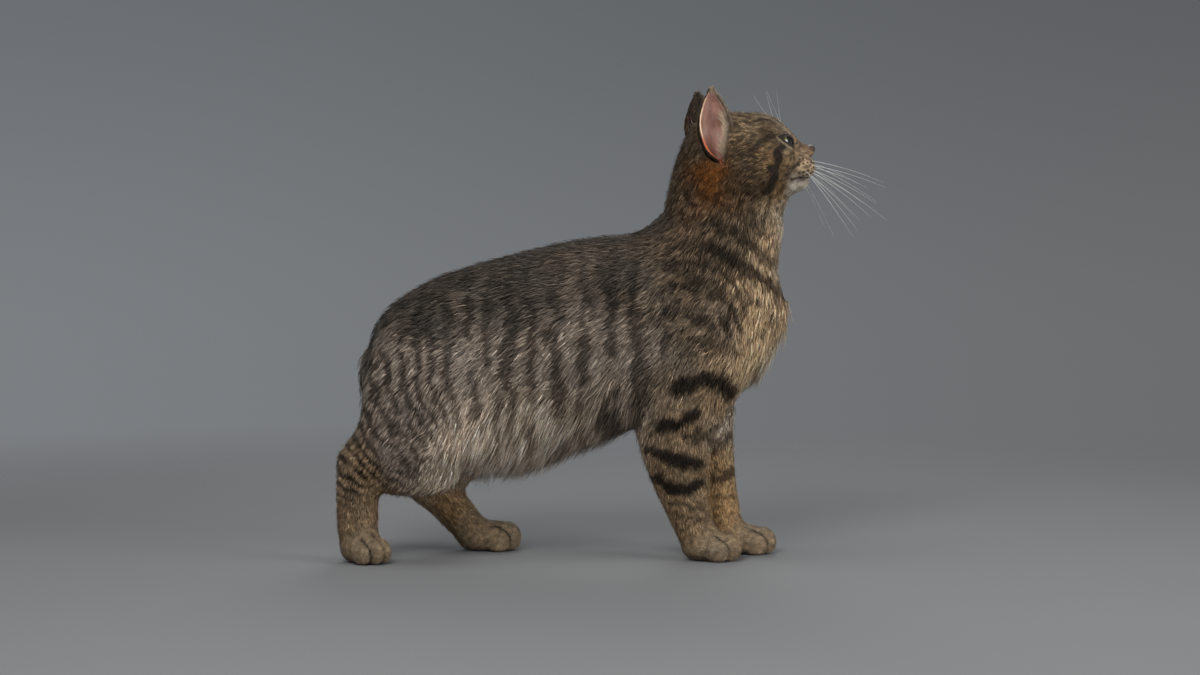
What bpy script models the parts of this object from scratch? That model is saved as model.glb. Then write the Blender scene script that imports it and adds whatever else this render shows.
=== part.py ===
"""A still, life-size shorthair cat without a tail, standing in profile with its head raised.

+X is forward, +Y is the cat's left, +Z is up and the paws rest on z = 0. Every size below is in
millimetres; MM turns it into metres. The flesh is laid up as overlapping ellipsoids, alone or in
chains along a bent line. They are fused by a voxel remesh, drawn onto one field in which
neighbours flow into each other, and parted into named pieces by thin cuts.
"""

import math

import bmesh
import bpy
import numpy as np
from mathutils import Matrix, Vector

MM = 0.001

# The design is drawn about the middle of the back and then moved so that its box is centred.
ORIGIN_SHIFT = (-28.15, -6.02, 0.0)

# Working sizes of the clay
ROUGH_VOXEL = 2.2
FINE_VOXEL = 1.3
GAP = 0.3
FAR = 60.0
PROBE = 0.5
FLESH_TRIANGLES = 6800

# Blends, the reach over which two neighbours flow into each other
BODY_BLEND = 26.0
SHOULDER_BLEND = 18.0
LEG_BLEND = 14.0
HEAD_BLEND = 8.0
MUZZLE_BLEND = 4.0
NECK_BLEND = 20.0
TOE_BLEND = 2.5
LID_BLEND = 5.0
ANKLE_BLEND = 9.0

# Torso: x, top z, bottom z, half width
TORSO = (
    (-166, 168, 124, 19),
    (-161, 182, 106, 29),
    (-148, 202, 90, 42),
    (-120, 221, 77, 48),
    (-85, 234, 68, 51),
    (-45, 245, 69, 54),
    (0, 255, 86, 54),
    (40, 259, 100, 51),
    (80, 258, 105, 46),
    (112, 250, 114, 41),
    (140, 236, 140, 33),
    (155, 223, 162, 24),
    (161, 214, 177, 17),
)

# Limbs and neck: x, y, z of the middle line, radius in the side view, radius across. y is for the
# left side and is mirrored for the right one.
NECK = (
    (96, 0, 205, 50, 28),
    (108, 0, 237, 54, 36),
    (117, 0, 268, 49, 34),
    (119, 0, 294, 45, 31),
    (124, 0, 314, 38, 30),
    (128, 0, 328, 33, 28),
)
FORELEG_LEFT = (
    (102, 22, 200, 26, 13),
    (104, 30, 165, 34, 18),
    (97, 31, 130, 34, 20),
    (98, 29, 104, 31, 19),
    (103.5, 27, 80, 25.5, 17.5),
    (108, 24, 60, 22, 16),
    (113.5, 21, 42, 18.5, 14.5),
    (119, 18, 26, 16, 14),
    (126, 17, 14, 14, 13.5),
)
FORELEG_RIGHT = (
    (102, 22, 200, 26, 13),
    (100, 30, 165, 34, 18),
    (85, 31, 130, 37, 20),
    (79, 29, 104, 32, 19),
    (81, 27, 80, 26.5, 17.5),
    (85, 24, 60, 22.5, 16),
    (89.5, 22, 42, 18.5, 14.5),
    (94.5, 20, 27, 16.5, 14),
    (99, 20, 14, 14.5, 13.5),
)
THIGH_LEFT = (
    (-118, 24, 184, 30, 15),
    (-118, 36, 155, 43, 21),
    (-110, 40, 120, 48, 21),
    (-94, 40, 88, 33, 18),
)
THIGH_RIGHT = (
    (-118, 24, 184, 30, 15),
    (-118, 36, 155, 45, 21),
    (-116, 40, 122, 53, 22),
    (-110, 40, 95, 44, 20),
)
SHANK_LEFT = (
    (-90, 39, 92, 31, 17),
    (-105, 39, 74, 26, 16),
    (-121, 38, 59, 19, 14.5),
    (-127, 37, 52, 14, 13),
)
SHANK_RIGHT = (
    (-102, 39, 90, 33, 18),
    (-128, 39, 88, 35, 18),
    (-152, 37, 85, 32, 16),
    (-170, 35, 79, 22, 14),
)
METATARSUS_LEFT = (
    (-127, 37, 60, 16, 13.5),
    (-111, 37, 45, 16, 14),
    (-95, 37, 27, 15, 14),
    (-84, 37, 14, 13, 13.5),
)
METATARSUS_RIGHT = (
    (-172, 35, 82, 16.5, 13),
    (-172.5, 34, 54, 17, 13.5),
    (-172.5, 31, 28, 16.5, 14),
    (-171, 30, 14, 15, 14),
)

# Paws: the heel's place, the turn of the toes outwards in degrees, and the size
PAWS = {
    "forepaw_right": ((96, -20, 0), 10, 1.0),
    "forepaw_left": ((126, 17, 0), 4, 1.0),
    "hindpaw_right": ((-175, -30, 0), 38, 0.95),
    "hindpaw_left": ((-84, 37, 0), 3, 1.07),
}
# A paw's lumps, for toes pointing along +X: centre and radii. Across is outwards.
PALM = ((7, 0, 11), (17, 14.5, 13))
KNUCKLES = ((17, 0, 13), (11, 13, 11))
TOES = (
    ((18, 11.5, 8.5), (10, 5.8, 9.5)),
    ((25.5, 4.4, 11), (11, 5.8, 12)),
    ((25.5, -4.4, 11), (11, 5.8, 12)),
    ((18, -11.5, 8.5), (10, 5.8, 9.5)),
)
SOLE_FLAT = 0.8

# Head, before its turn: centre and radii of each lump, with its pitch in degrees
HEAD_PIVOT = (118, 0, 300)
HEAD_YAW = 7.0
HEAD_MIDDLE_LUMPS = (
    ((123.5, 0, 321), (37, 33, 34.5), 0),
    ((146, 0, 331.5), (24, 24, 24), 0),
    ((156, 0, 316), (24, 20, 20), 0),
    ((169, 0, 333.5), (21, 8, 7.5), 42),
    ((152, 0, 303), (27, 21, 17), 0),
)
HEAD_SIDE_LUMPS = (
    ((138, 18, 309), (26, 21, 19), 0),
    ((153, 19, 320), (17, 11, 10), 10),
    ((151, 14.5, 344), (15, 10.5, 8.5), 30),
)
MUZZLE_MIDDLE_LUMPS = (
    ((170, 0, 313), (20, 13, 13), 0),
    ((186.5, 0, 325.5), (5.2, 5.8, 4.6), 0),
    ((176, 0, 300.5), (11.5, 10, 7.5), 0),
)
MUZZLE_SIDE_LUMPS = (((178.5, 9, 312.2), (12.5, 10.3, 9.8), 0),)

# Eyes: the ball's centre on the left, the way it looks, and the slit between the lids
EYE_CENTRE = (159.6, 17.0, 332.0)
EYE_RADIUS = 10.2
LID_THICK = 1.2
EYE_TURN = 45.0
EYE_RISE = 6.0
SLIT_LENGTH = 19.0
SLIT_HEIGHT = 10.0
SLIT_SLOPE = 20.0

# Nose leather, nostrils and the line of the mouth, whose points lie on the skin
NOSE_CENTRE = (188.2, 0, 326.2)
NOSE_RADII = (4.4, 6.2, 4.2)
NOSTRIL = (192.0, 3.1, 324.9)
NOSTRIL_RADII = (2.6, 1.5, 1.1)
MOUTH = ((169, 20, 301), (175, 17, 302), (181, 13, 303.5), (186, 8, 305), (189.5, 3, 307), (191, 0, 309))
PHILTRUM = ((191, 0, 309), (192, 0, 314), (192, 0, 320))
MOUTH_RADIUS = 0.8

# Ears, on the left: x, y, z of the middle of the opening and its half width, from notch to tip
EAR = (
    (111.5, 30.0, 314.0, 3.0),
    (107.0, 31.0, 325.0, 10.0),
    (105.5, 31.0, 344.0, 14.0),
    (104.0, 33.0, 361.0, 9.0),
    (101.7, 34.5, 371.5, 1.8),
)
EAR_FACES = (0.36, 0.92, 0.12)
EAR_DEPTH = 0.8
EAR_WRAP = (150, 104, 92, 80, 62)
EAR_THICK = 1.8

# Whiskers on the left: root and tip. The radius is to the corners of a square section.
WHISKER_RADIUS = 0.36
WHISKERS = (
    ((186, 12, 316), (238, 45, 300)),
    ((187, 11, 313), (243, 30, 296)),
    ((183, 14, 314), (228, 62, 285)),
    ((185, 13, 311), (240, 48, 270)),
    ((187, 11, 309), (232, 30, 272)),
    ((181, 15, 310), (214, 60, 262)),
    ((184, 13, 307), (216, 36, 256)),
)

# Thin cuts through the limbs and neck: middle, normal, and the side lengths of the slab
CUTS = (
    ((122, 0, 298), (0.29, 0, 0.957), (160, 110)),
    ((110, 0, 234), (0.43, 0, 0.90), (180, 130)),
    ((84, -36, 86), (0.0, 0, 1), (104, 56)),
    ((103, 36, 88), (0.0, 0, 1), (92, 56)),
    ((93, -22, 31), (-0.25, 0, 1), (70, 40)),
    ((118, 22, 31), (-0.25, 0, 1), (70, 40)),
    ((-126, -39, 97), (0.50, 0, 0.86), (150, 62)),
    ((-114, 39, 90), (0.50, 0, 0.86), (150, 62)),
    ((-173, -31, 27), (0, 0, 1), (60, 60)),
    ((-98, 37, 30), (-0.6, 0, 0.8), (60, 50)),
)
# Domes that part each limb from the trunk: middle, radii, lower edge of the walls, and the two
# angles (0 is forward, 90 is outwards) between which the wall is left out
DOMES = (
    ((-124, -38, 132), (54.5, 28, 56), 58, (70, 190)),
    ((-117, 38, 132), (60, 28, 56), 58, (70, 190)),
    ((88, -36, 152), (52, 28, 44), 78, (60, 120)),
    ((99, 36, 152), (46, 28, 44), 78, (60, 120)),
)

# Each piece of flesh is known by a point near its middle
FLESH = {
    "head": (150, 0, 322),
    "neck": (115, 0, 270),
    "torso": (0, 0, 180),
    "upper_arm_right": (88, -38, 150),
    "upper_arm_left": (99, 38, 150),
    "forearm_right": (86, -27, 70),
    "forearm_left": (105, 26, 70),
    "forepaw_right": (105, -20, 12),
    "forepaw_left": (135, 17, 12),
    "thigh_right": (-124, -42, 130),
    "thigh_left": (-117, 42, 130),
    "shank_right": (-155, -36, 65),
    "shank_left": (-110, 38, 60),
    "hindpaw_right": (-165, -33, 12),
    "hindpaw_left": (-70, 37, 12),
}

# Finishes: base colour, roughness
FINISHES = {
    "fur": ((0.30, 0.25, 0.20), 0.85),
    "ear_skin": ((0.50, 0.30, 0.25), 0.7),
    "nose_leather": ((0.10, 0.05, 0.045), 0.45),
    "eye": ((0.16, 0.15, 0.05), 0.08),
}


def clear_scene():
    for obj in list(bpy.data.objects):
        bpy.data.objects.remove(obj, do_unlink=True)


def new_object(name, mesh, collection):
    obj = bpy.data.objects.new(name, mesh)
    collection.objects.link(obj)
    return obj


def new_collection(name):
    made = bpy.data.collections.new(name)
    bpy.context.scene.collection.children.link(made)
    return made


def finish_material(name):
    """One plain Principled material for each finish."""
    made = bpy.data.materials.get(name)
    if made is None:
        made = bpy.data.materials.new(name)
        made.use_nodes = True
        shader = made.node_tree.nodes["Principled BSDF"]
        colour, roughness = FINISHES[name]
        shader.inputs["Base Color"].default_value = (*colour, 1.0)
        shader.inputs["Roughness"].default_value = roughness
    return made


def points_of(obj):
    """The object's points in millimetres."""
    found = np.empty(len(obj.data.vertices) * 3, np.float32)
    obj.data.vertices.foreach_get("co", found)
    return found.reshape(-1, 3).astype(float) / MM


def move_points(obj, points):
    obj.data.vertices.foreach_set("co", (points * MM).astype(np.float32).ravel())
    obj.data.update()


def smooth_rows(rows, count):
    """Rows of numbers carried through their stations by a Catmull-Rom curve, count rows in all."""
    rows = np.array(rows, float)
    padded = np.vstack([2 * rows[0] - rows[1], rows, 2 * rows[-1] - rows[-2]])
    place = np.linspace(0, len(rows) - 1, count)
    step = np.minimum(place.astype(int), len(rows) - 2)
    t = (place - step)[:, None]
    before, start, end, after = (padded[step + k] for k in range(4))
    return 0.5 * (
        2 * start
        + (end - before) * t
        + (2 * before - 5 * start + 4 * end - after) * t**2
        + (3 * start - before - 3 * end + after) * t**3
    )


def even_rows(rows, count, columns=3):
    """The same rows, spaced evenly by the length along their first columns."""
    fine = smooth_rows(rows, count * 12)
    steps = np.linalg.norm(np.diff(fine[:, :columns], axis=0), axis=1)
    length = np.concatenate([[0], np.cumsum(steps)])
    place = np.linspace(0, length[-1], count)
    return np.column_stack([np.interp(place, length, column) for column in fine.T])


def unit(rows):
    return rows / np.linalg.norm(rows, axis=-1, keepdims=True)


def ellipsoid(centre, radii, pitch=0.0, yaw=0.0):
    """A lump of one ellipsoid: centres, radii and axes. A positive pitch lowers its front."""
    turn = Matrix.Rotation(math.radians(yaw), 3, "Z") @ Matrix.Rotation(math.radians(pitch), 3, "Y")
    return np.array([centre], float), np.array([radii], float), np.array(turn)[None]


def limb(stations, side, count=60):
    """A bent line with oval sections square to it, for flesh; side is +1 for left, -1 for right."""
    rows = even_rows(stations, count)
    rows[:, 1] *= side
    along = unit(np.gradient(rows[:, :3], axis=0))
    across = unit(np.array((0.0, 1.0, 0.0)) - along * along[:, 1:2])
    radii = np.column_stack([0.6 * rows[:, 3:5].min(axis=1), rows[:, 3], rows[:, 4]])
    return rows[:, :3], radii, np.stack([along, np.cross(across, along), across], axis=2)


def trunk(count=70):
    """The same from the rump to the chest, with upright sections."""
    x, top, bottom, wide = even_rows(TORSO, count, columns=1).T
    tall = (top - bottom) / 2
    centres = np.column_stack([x, np.zeros(count), (top + bottom) / 2])
    radii = np.column_stack([np.full(count, 8.0), tall, wide])
    axes = np.array(((1.0, 0, 0), (0, 0, 1.0), (0, 1.0, 0))).T
    return centres, radii, np.repeat(axes[None], count, axis=0)


def rough_mesh(lumps):
    """The lumps as rows of overlapping closed ellipsoids, a little too small."""
    bm = bmesh.new()
    bmesh.ops.create_icosphere(bm, subdivisions=3, radius=1.0)
    ball = np.array([point.co[:] for point in bm.verts])
    corners = np.array([[point.index for point in face.verts] for face in bm.faces])
    bm.free()
    points, faces = [], []
    for lump in lumps:
        chained = len(lump[0]) > 1
        for centre, radii, axes in list(zip(*lump))[:: 3 if chained else 1]:
            radii = np.maximum(radii, 0.35 * radii.max()) if chained else radii
            faces.append(corners + len(points) * len(ball))
            points.append(centre + (ball * radii * 0.97) @ axes.T)
    mesh = bpy.data.meshes.new("lumps")
    mesh.from_pydata((np.vstack(points) * MM).tolist(), [], np.vstack(faces).tolist())
    return mesh


def distance(points, lump):
    """About how far each point lies outside the lump, below 0 inside; FAR where nowhere near."""
    centres, radii, axes = lump
    found = np.full(len(points), FAR)
    reach = radii.max() + FAR / 2
    low, high = centres.min(axis=0) - reach, centres.max(axis=0) + reach
    near = np.flatnonzero(((points > low) & (points < high)).all(axis=1))
    spot = points[near]
    if len(centres) == 1:
        local, size = (spot - centres[0]) @ axes[0], radii[0]
    else:
        local, size = along_chain(spot, centres, radii, axes)
    grown = np.linalg.norm(local / size, axis=1)
    slope = np.maximum(np.linalg.norm(local / size**2, axis=1), 1e-9)
    found[near] = grown * (grown - 1) / slope
    return found


def along_chain(spot, centres, radii, axes):
    """Each point's place in the section that it lies in, and that section's radii."""
    upright = np.ptp(axes[:, :, 0], axis=0).max() == 0
    nearest = np.zeros(len(spot), int)
    shortest = np.full(len(spot), np.inf)
    for k, centre in enumerate(centres):
        offset = spot[:, :1] - centre[:1] if upright else spot - centre
        square = (offset**2).sum(axis=1)
        closer = square < shortest
        nearest[closer], shortest[closer] = k, square[closer]
    lead = ((spot - centres[nearest]) * axes[nearest, :, 0]).sum(axis=1)
    step = np.linalg.norm(np.diff(centres[:, :1] if upright else centres, axis=0), axis=1).mean()
    place = nearest + lead / step
    low = np.clip(place.astype(int), 0, len(centres) - 2)
    share = np.clip(place - low, 0, 1)[:, None]
    middle = centres[low] * (1 - share) + centres[low + 1] * share
    size = radii[low] * (1 - share) + radii[low + 1] * share
    local = np.matmul((spot - middle)[:, None, :], axes[nearest])[:, 0]
    inside = (place > 0) & (place < len(centres) - 1)
    local[inside, 0] = 0
    return local, size


def flow(one, other, blend):
    """The smaller of two distances, rounded off where they are less than blend apart."""
    close = np.clip(blend - np.abs(one - other), 0, None) / blend
    return np.minimum(one, other) - close**2 * blend / 4


def flow_all(points, lumps, blend):
    found = distance(points, lumps[0])
    for lump in lumps[1:]:
        found = flow(found, distance(points, lump), blend)
    return found


def on_head(point, side=1):
    """A point of the head, mirrored for the right side, after the head's turn."""
    turn = Matrix.Rotation(math.radians(HEAD_YAW), 3, "Z")
    mirrored = Vector((point[0], side * point[1], point[2]))
    return np.array(turn @ (mirrored - Vector(HEAD_PIVOT)) + Vector(HEAD_PIVOT))


def head_lumps(middle, sides):
    lumps = [
        ellipsoid(on_head(centre), radii, pitch, HEAD_YAW) for centre, radii, pitch in middle
    ]
    for centre, radii, pitch in sides:
        for side in (1, -1):
            lumps.append(ellipsoid(on_head(centre, side), radii, pitch, HEAD_YAW))
    return lumps


def lid_lumps():
    reach = EYE_RADIUS + GAP + LID_THICK
    return [ellipsoid(on_head(EYE_CENTRE, side), (reach,) * 3) for side in (1, -1)]


def paw_lumps(heel, toe_out, scale):
    """Palm, knuckles and four toes; the soles dip under z = 0, where they are cut flat."""
    side = 1 if heel[1] > 0 else -1
    yaw = side * toe_out
    turn = Matrix.Rotation(math.radians(yaw), 3, "Z")
    lumps = []
    for centre, radii in (PALM, KNUCKLES, *TOES):
        local = turn @ (Vector((centre[0], side * centre[1], 0)) * scale)
        middle = (heel[0] + local.x, heel[1] + local.y, centre[2] * scale - SOLE_FLAT)
        lumps.append(ellipsoid(middle, [r * scale for r in radii], 0.0, yaw))
    return lumps


def flesh_lumps():
    """All lumps of the cat, by the part whose blend they share."""
    legs = {}
    for side, fore, thigh, shank, foot in (
        (1, FORELEG_LEFT, THIGH_LEFT, SHANK_LEFT, METATARSUS_LEFT),
        (-1, FORELEG_RIGHT, THIGH_RIGHT, SHANK_RIGHT, METATARSUS_RIGHT),
    ):
        legs[side] = [limb(rows, side) for rows in (fore, thigh, shank, foot)]
    return {
        "trunk": [trunk()],
        "neck": [limb(NECK, 1)],
        "legs": legs,
        "head": head_lumps(HEAD_MIDDLE_LUMPS, HEAD_SIDE_LUMPS),
        "muzzle": head_lumps(MUZZLE_MIDDLE_LUMPS, MUZZLE_SIDE_LUMPS),
        "lids": lid_lumps(),
        "paws": [paw_lumps(*paw) for paw in PAWS.values()],
    }


def flesh_field(points, lumps):
    """Distance to the blended flesh."""
    found = distance(points, lumps["trunk"][0])
    for fore, thigh, shank, foot in lumps["legs"].values():
        hind = flow(distance(points, thigh), distance(points, shank), LEG_BLEND)
        hind = flow(hind, distance(points, foot), LEG_BLEND)
        found = flow(found, hind, BODY_BLEND)
        found = flow(found, distance(points, fore), SHOULDER_BLEND)
    found = flow(found, distance(points, lumps["neck"][0]), BODY_BLEND)
    head = flow_all(points, lumps["head"], HEAD_BLEND)
    head = flow(head, flow_all(points, lumps["muzzle"], MUZZLE_BLEND), HEAD_BLEND)
    for lid in lumps["lids"]:
        head = flow(head, distance(points, lid), LID_BLEND)
    found = flow(found, head, NECK_BLEND)
    for paw in lumps["paws"]:
        found = flow(found, flow_all(points, paw, TOE_BLEND), ANKLE_BLEND)
    return found


def baked(obj):
    """The object with its modifiers made real."""
    bpy.context.view_layer.update()
    graph = bpy.context.evaluated_depsgraph_get()
    mesh = bpy.data.meshes.new_from_object(obj.evaluated_get(graph))
    obj.modifiers.clear()
    obj.data = mesh
    return obj


def remesh(obj, voxel):
    made = obj.modifiers.new("fuse", "REMESH")
    made.mode = "VOXEL"
    made.voxel_size = voxel * MM
    return baked(obj)


def settle(obj, lumps, rounds):
    """Draws the skin onto the blended flesh along its normals."""
    for _ in range(rounds):
        points = points_of(obj)
        normals = np.empty(len(points) * 3, np.float32)
        obj.data.vertex_normals.foreach_get("vector", normals)
        normals = normals.reshape(-1, 3).astype(float)
        gap = flesh_field(points, lumps)
        slope = (flesh_field(points + PROBE * normals, lumps) - gap) / PROBE
        step = np.clip(gap / np.clip(slope, 0.7, 8), -4, 4)
        move_points(obj, points - step[:, None] * normals)


def every_lump(lumps):
    found = [lump for group in (*lumps["legs"].values(), *lumps["paws"]) for lump in group]
    for name in ("trunk", "neck", "head", "muzzle", "lids"):
        found += lumps[name]
    return found


def model_flesh(collection):
    """The whole cat as one closed skin, without ears, eyes, nose leather and whiskers."""
    lumps = flesh_lumps()
    flesh = new_object("flesh", rough_mesh(every_lump(lumps)), collection)
    remesh(flesh, ROUGH_VOXEL)
    settle(flesh, lumps, 4)
    remesh(flesh, FINE_VOXEL)
    settle(flesh, lumps, 3)
    soften = flesh.modifiers.new("soften", "SMOOTH")
    soften.factor = 0.5
    soften.iterations = 3
    remesh(flesh, FINE_VOXEL)
    flatten_soles(flesh)
    thin = flesh.modifiers.new("thin", "DECIMATE")
    thin.ratio = FLESH_TRIANGLES / sum(len(p.vertices) - 2 for p in flesh.data.polygons)
    baked(flesh)
    flatten_soles(flesh)
    return flesh


def flatten_soles(flesh):
    """Brings all that dips under the floor up to it, as small flats."""
    points = points_of(flesh)
    points[:, 2] = np.where(points[:, 2] < 0.05, 0, points[:, 2])
    move_points(flesh, points)


def slab(middle, normal, size):
    """A thin square plate that parts a limb."""
    bm = bmesh.new()
    bmesh.ops.create_cube(bm, size=1.0)
    scale = Matrix.Diagonal((size[0] * MM, size[1] * MM, GAP * MM, 1.0))
    turn = Vector((0, 0, 1)).rotation_difference(Vector(normal)).to_matrix().to_4x4()
    place = Matrix.Translation(Vector(middle) * MM) @ turn
    bmesh.ops.transform(bm, matrix=place @ scale, verts=bm.verts)
    mesh = bpy.data.meshes.new("slab")
    bm.to_mesh(mesh)
    bm.free()
    return mesh


def dome(middle, radii, floor, opening, around=24, levels=6):
    """A thin domed sheet with walls below it, which parts a limb from the trunk."""
    side = 1 if middle[1] > 0 else -1
    angle = np.arange(around) * 360 / around
    rise = [floor - middle[2], (floor - middle[2]) / 2]
    rise += [radii[2] * math.sin(k * math.pi / 2 / levels) for k in range(levels)]
    wide = [1.0, 1.0] + [math.cos(k * math.pi / 2 / levels) for k in range(levels)]
    points = [
        (
            middle[0] + radii[0] * share * math.cos(math.radians(turn)),
            middle[1] + side * radii[1] * share * math.sin(math.radians(turn)),
            middle[2] + height,
        )
        for height, share in zip(rise, wide)
        for turn in angle
    ]
    points.append((middle[0], middle[1], middle[2] + radii[2]))
    top = len(points) - 1
    faces = []
    for level in range(len(rise) - 1):
        for k in range(around):
            n = (k + 1) % around
            if level < 2 and opening[0] <= angle[k] < opening[1]:
                continue
            low, high = level * around, (level + 1) * around
            faces.append((low + k, low + n, high + n, high + k))
    last = (len(rise) - 1) * around
    faces += [(last + k, last + (k + 1) % around, top) for k in range(around)]
    mesh = bpy.data.meshes.new("dome")
    mesh.from_pydata((np.array(points) * MM).tolist(), [], faces)
    bm = bmesh.new()
    bm.from_mesh(mesh)
    bmesh.ops.delete(bm, geom=[v for v in bm.verts if not v.link_faces], context="VERTS")
    bmesh.ops.recalc_face_normals(bm, faces=bm.faces)
    bm.to_mesh(mesh)
    bm.free()
    return mesh


def closed_tube(path, radii, sides=5):
    """A tube with flat ends along a path of points, with a radius at each of them."""
    path = np.array(path, float)
    along = unit(np.gradient(path, axis=0))
    first = unit(np.cross(along, (0.31, 0.17, 0.93)))
    second = np.cross(along, first)
    turn = np.arange(sides) * 2 * math.pi / sides
    rings = path[:, None] + np.array(radii)[:, None, None] * (
        np.cos(turn)[None, :, None] * first[:, None] + np.sin(turn)[None, :, None] * second[:, None]
    )
    faces = [tuple(range(sides))]
    for ring in range(len(path) - 1):
        for k in range(sides):
            n = (k + 1) % sides
            low, high = ring * sides, (ring + 1) * sides
            faces.append((low + k, high + k, high + n, low + n))
    faces.append(tuple(range((len(path) - 1) * sides, len(path) * sides))[::-1])
    return outward("tube", rings.reshape(-1, 3), faces)


def outward(name, points, faces):
    """A mesh from points in millimetres, with its faces turned out."""
    mesh = bpy.data.meshes.new(name)
    mesh.from_pydata((np.array(points) * MM).tolist(), [], faces)
    bm = bmesh.new()
    bm.from_mesh(mesh)
    bmesh.ops.recalc_face_normals(bm, faces=bm.faces)
    bm.to_mesh(mesh)
    bm.free()
    return mesh


def ball(centre, radius, segments=18):
    bm = bmesh.new()
    bmesh.ops.create_uvsphere(
        bm, u_segments=segments, v_segments=segments // 2, radius=radius * MM
    )
    bmesh.ops.translate(bm, vec=Vector(centre) * MM, verts=bm.verts)
    mesh = bpy.data.meshes.new("ball")
    bm.to_mesh(mesh)
    bm.free()
    return mesh


def lump_mesh(lump, segments=14):
    """A lump of one ellipsoid as a closed mesh."""
    (centre,), (radii,), (axes,) = lump
    bm = bmesh.new()
    bmesh.ops.create_uvsphere(bm, u_segments=segments, v_segments=segments // 2, radius=1.0)
    stretch = Matrix.Diagonal(Vector((*(radii * MM), 1.0)))
    place = Matrix.Translation(Vector(centre * MM)) @ Matrix(axes.tolist()).to_4x4()
    bmesh.ops.transform(bm, matrix=place @ stretch, verts=bm.verts)
    mesh = bpy.data.meshes.new("lump")
    bm.to_mesh(mesh)
    bm.free()
    return mesh


def combine(obj, meshes, operation, collection, thickness=0.0, solver="EXACT"):
    """Cuts the meshes from the object, or joins them to it, one after another."""
    for mesh in meshes:
        tool = new_object("tool", mesh, collection)
        tool.hide_render = True
        tool.display_type = "WIRE"
        if thickness:
            sheet = tool.modifiers.new("sheet", "SOLIDIFY")
            sheet.thickness = thickness * MM
            sheet.offset = 0
        made = obj.modifiers.new("made", "BOOLEAN")
        made.operation = operation
        made.solver = solver
        made.object = tool
        baked(obj)
        bpy.data.objects.remove(tool, do_unlink=True)
    return obj


def islands(obj):
    """The object's separate closed skins, each as a list of face numbers."""
    bm = bmesh.new()
    bm.from_mesh(obj.data)
    bm.faces.ensure_lookup_table()
    seen, found = set(), []
    for start in bm.faces:
        if start.index in seen:
            continue
        seen.add(start.index)
        queue, group = [start], []
        while queue:
            face = queue.pop()
            group.append(face.index)
            for edge in face.edges:
                for other in edge.link_faces:
                    if other.index not in seen:
                        seen.add(other.index)
                        queue.append(other)
        found.append(group)
    bm.free()
    return found


def keep_faces(obj, group, name, collection):
    """A new object from a group of the object's faces."""
    kept = set(group)
    bm = bmesh.new()
    bm.from_mesh(obj.data)
    bm.faces.ensure_lookup_table()
    away = [face for face in bm.faces if face.index not in kept]
    bmesh.ops.delete(bm, geom=away, context="FACES")
    bmesh.ops.triangulate(bm, faces=bm.faces)
    mesh = bpy.data.meshes.new(name)
    bm.to_mesh(mesh)
    bm.free()
    return new_object(name, mesh, collection)


def keep_largest(obj):
    group = max(islands(obj), key=len)
    whole = keep_faces(obj, group, obj.name, obj.users_collection[0])
    obj.data = whole.data
    bpy.data.objects.remove(whole, do_unlink=True)
    return obj


def part_flesh(flesh, cat, tools):
    """Cuts the flesh into its named pieces."""
    combine(flesh, [slab(*cut) for cut in CUTS], "DIFFERENCE", tools)
    domes = [dome(middle, radii, floor, opening) for middle, radii, floor, opening in DOMES]
    combine(flesh, domes, "DIFFERENCE", tools, thickness=GAP)
    pieces = {}
    points = points_of(flesh)
    corners = [tuple(polygon.vertices) for polygon in flesh.data.polygons]
    groups = [group for group in islands(flesh) if len(group) > 40]
    middles = []
    for group in groups:
        used = np.unique([k for face in group for k in corners[face]])
        middles.append((points[used].min(axis=0) + points[used].max(axis=0)) / 2)
    for name, seed in FLESH.items():
        apart = [np.linalg.norm(middle - seed) for middle in middles]
        pieces[name] = keep_faces(flesh, groups[int(np.argmin(apart))], name, cat)
    bpy.data.objects.remove(flesh, do_unlink=True)
    return pieces


def on_skin(point, lumps, side):
    """The place on the skin nearest to a point of the unturned head, and the skin's slope there."""
    spot = on_head(point, side)[None]
    steps = np.eye(3) * 0.2
    for _ in range(6):
        slope = np.array([
            (flesh_field(spot + step, lumps) - flesh_field(spot - step, lumps))[0] for step in steps
        ])
        slope /= np.linalg.norm(slope)
        spot = spot - flesh_field(spot, lumps)[:, None] * slope
    return spot[0], slope


def line_on_skin(points, lumps, side, count):
    return [on_skin(point, lumps, side)[0] for point in smooth_rows(points, count)]


def eye_frame(side):
    """The middle of the eye, the way it looks, the direction of its slit, and upwards in its face."""
    turn, rise = math.radians(EYE_TURN), math.radians(EYE_RISE)
    look = np.array((math.cos(turn) * math.cos(rise), math.sin(turn) * math.cos(rise), math.sin(rise)))
    inward = np.array((math.sin(turn), -math.cos(turn), 0.0))
    slope = math.radians(SLIT_SLOPE)
    upward = np.cross(inward, look)
    slit = inward * math.cos(slope) - upward * math.sin(slope)
    upward = upward * math.cos(slope) + inward * math.sin(slope)
    origin = on_head((0, 0, 0), side)
    centre = on_head(EYE_CENTRE, side)
    return centre, *(on_head(axis, side) - origin for axis in (look, slit, upward))


def lid_opening(side, count=9):
    """A prism with the almond outline of the slit between the lids."""
    centre, look, slit, upward = eye_frame(side)
    half = SLIT_LENGTH / 2
    share = np.linspace(-1, 1, count)
    rim = [(s * half, SLIT_HEIGHT / 2 * (1 - s * s) ** 0.8) for s in share]
    rim += [(s * half, -SLIT_HEIGHT / 2 * (1 - s * s) ** 0.8) for s in share[-2:0:-1]]
    points = [
        centre + look * depth + slit * along * spread + upward * up * spread
        for depth, spread in ((4.0, 0.8), (20.0, 1.15))
        for along, up in rim
    ]
    size = len(rim)
    faces = [tuple(range(size)), tuple(range(size, 2 * size))]
    faces += [(k, (k + 1) % size, size + (k + 1) % size, size + k) for k in range(size)]
    return outward("lid opening", points, faces)


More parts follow.
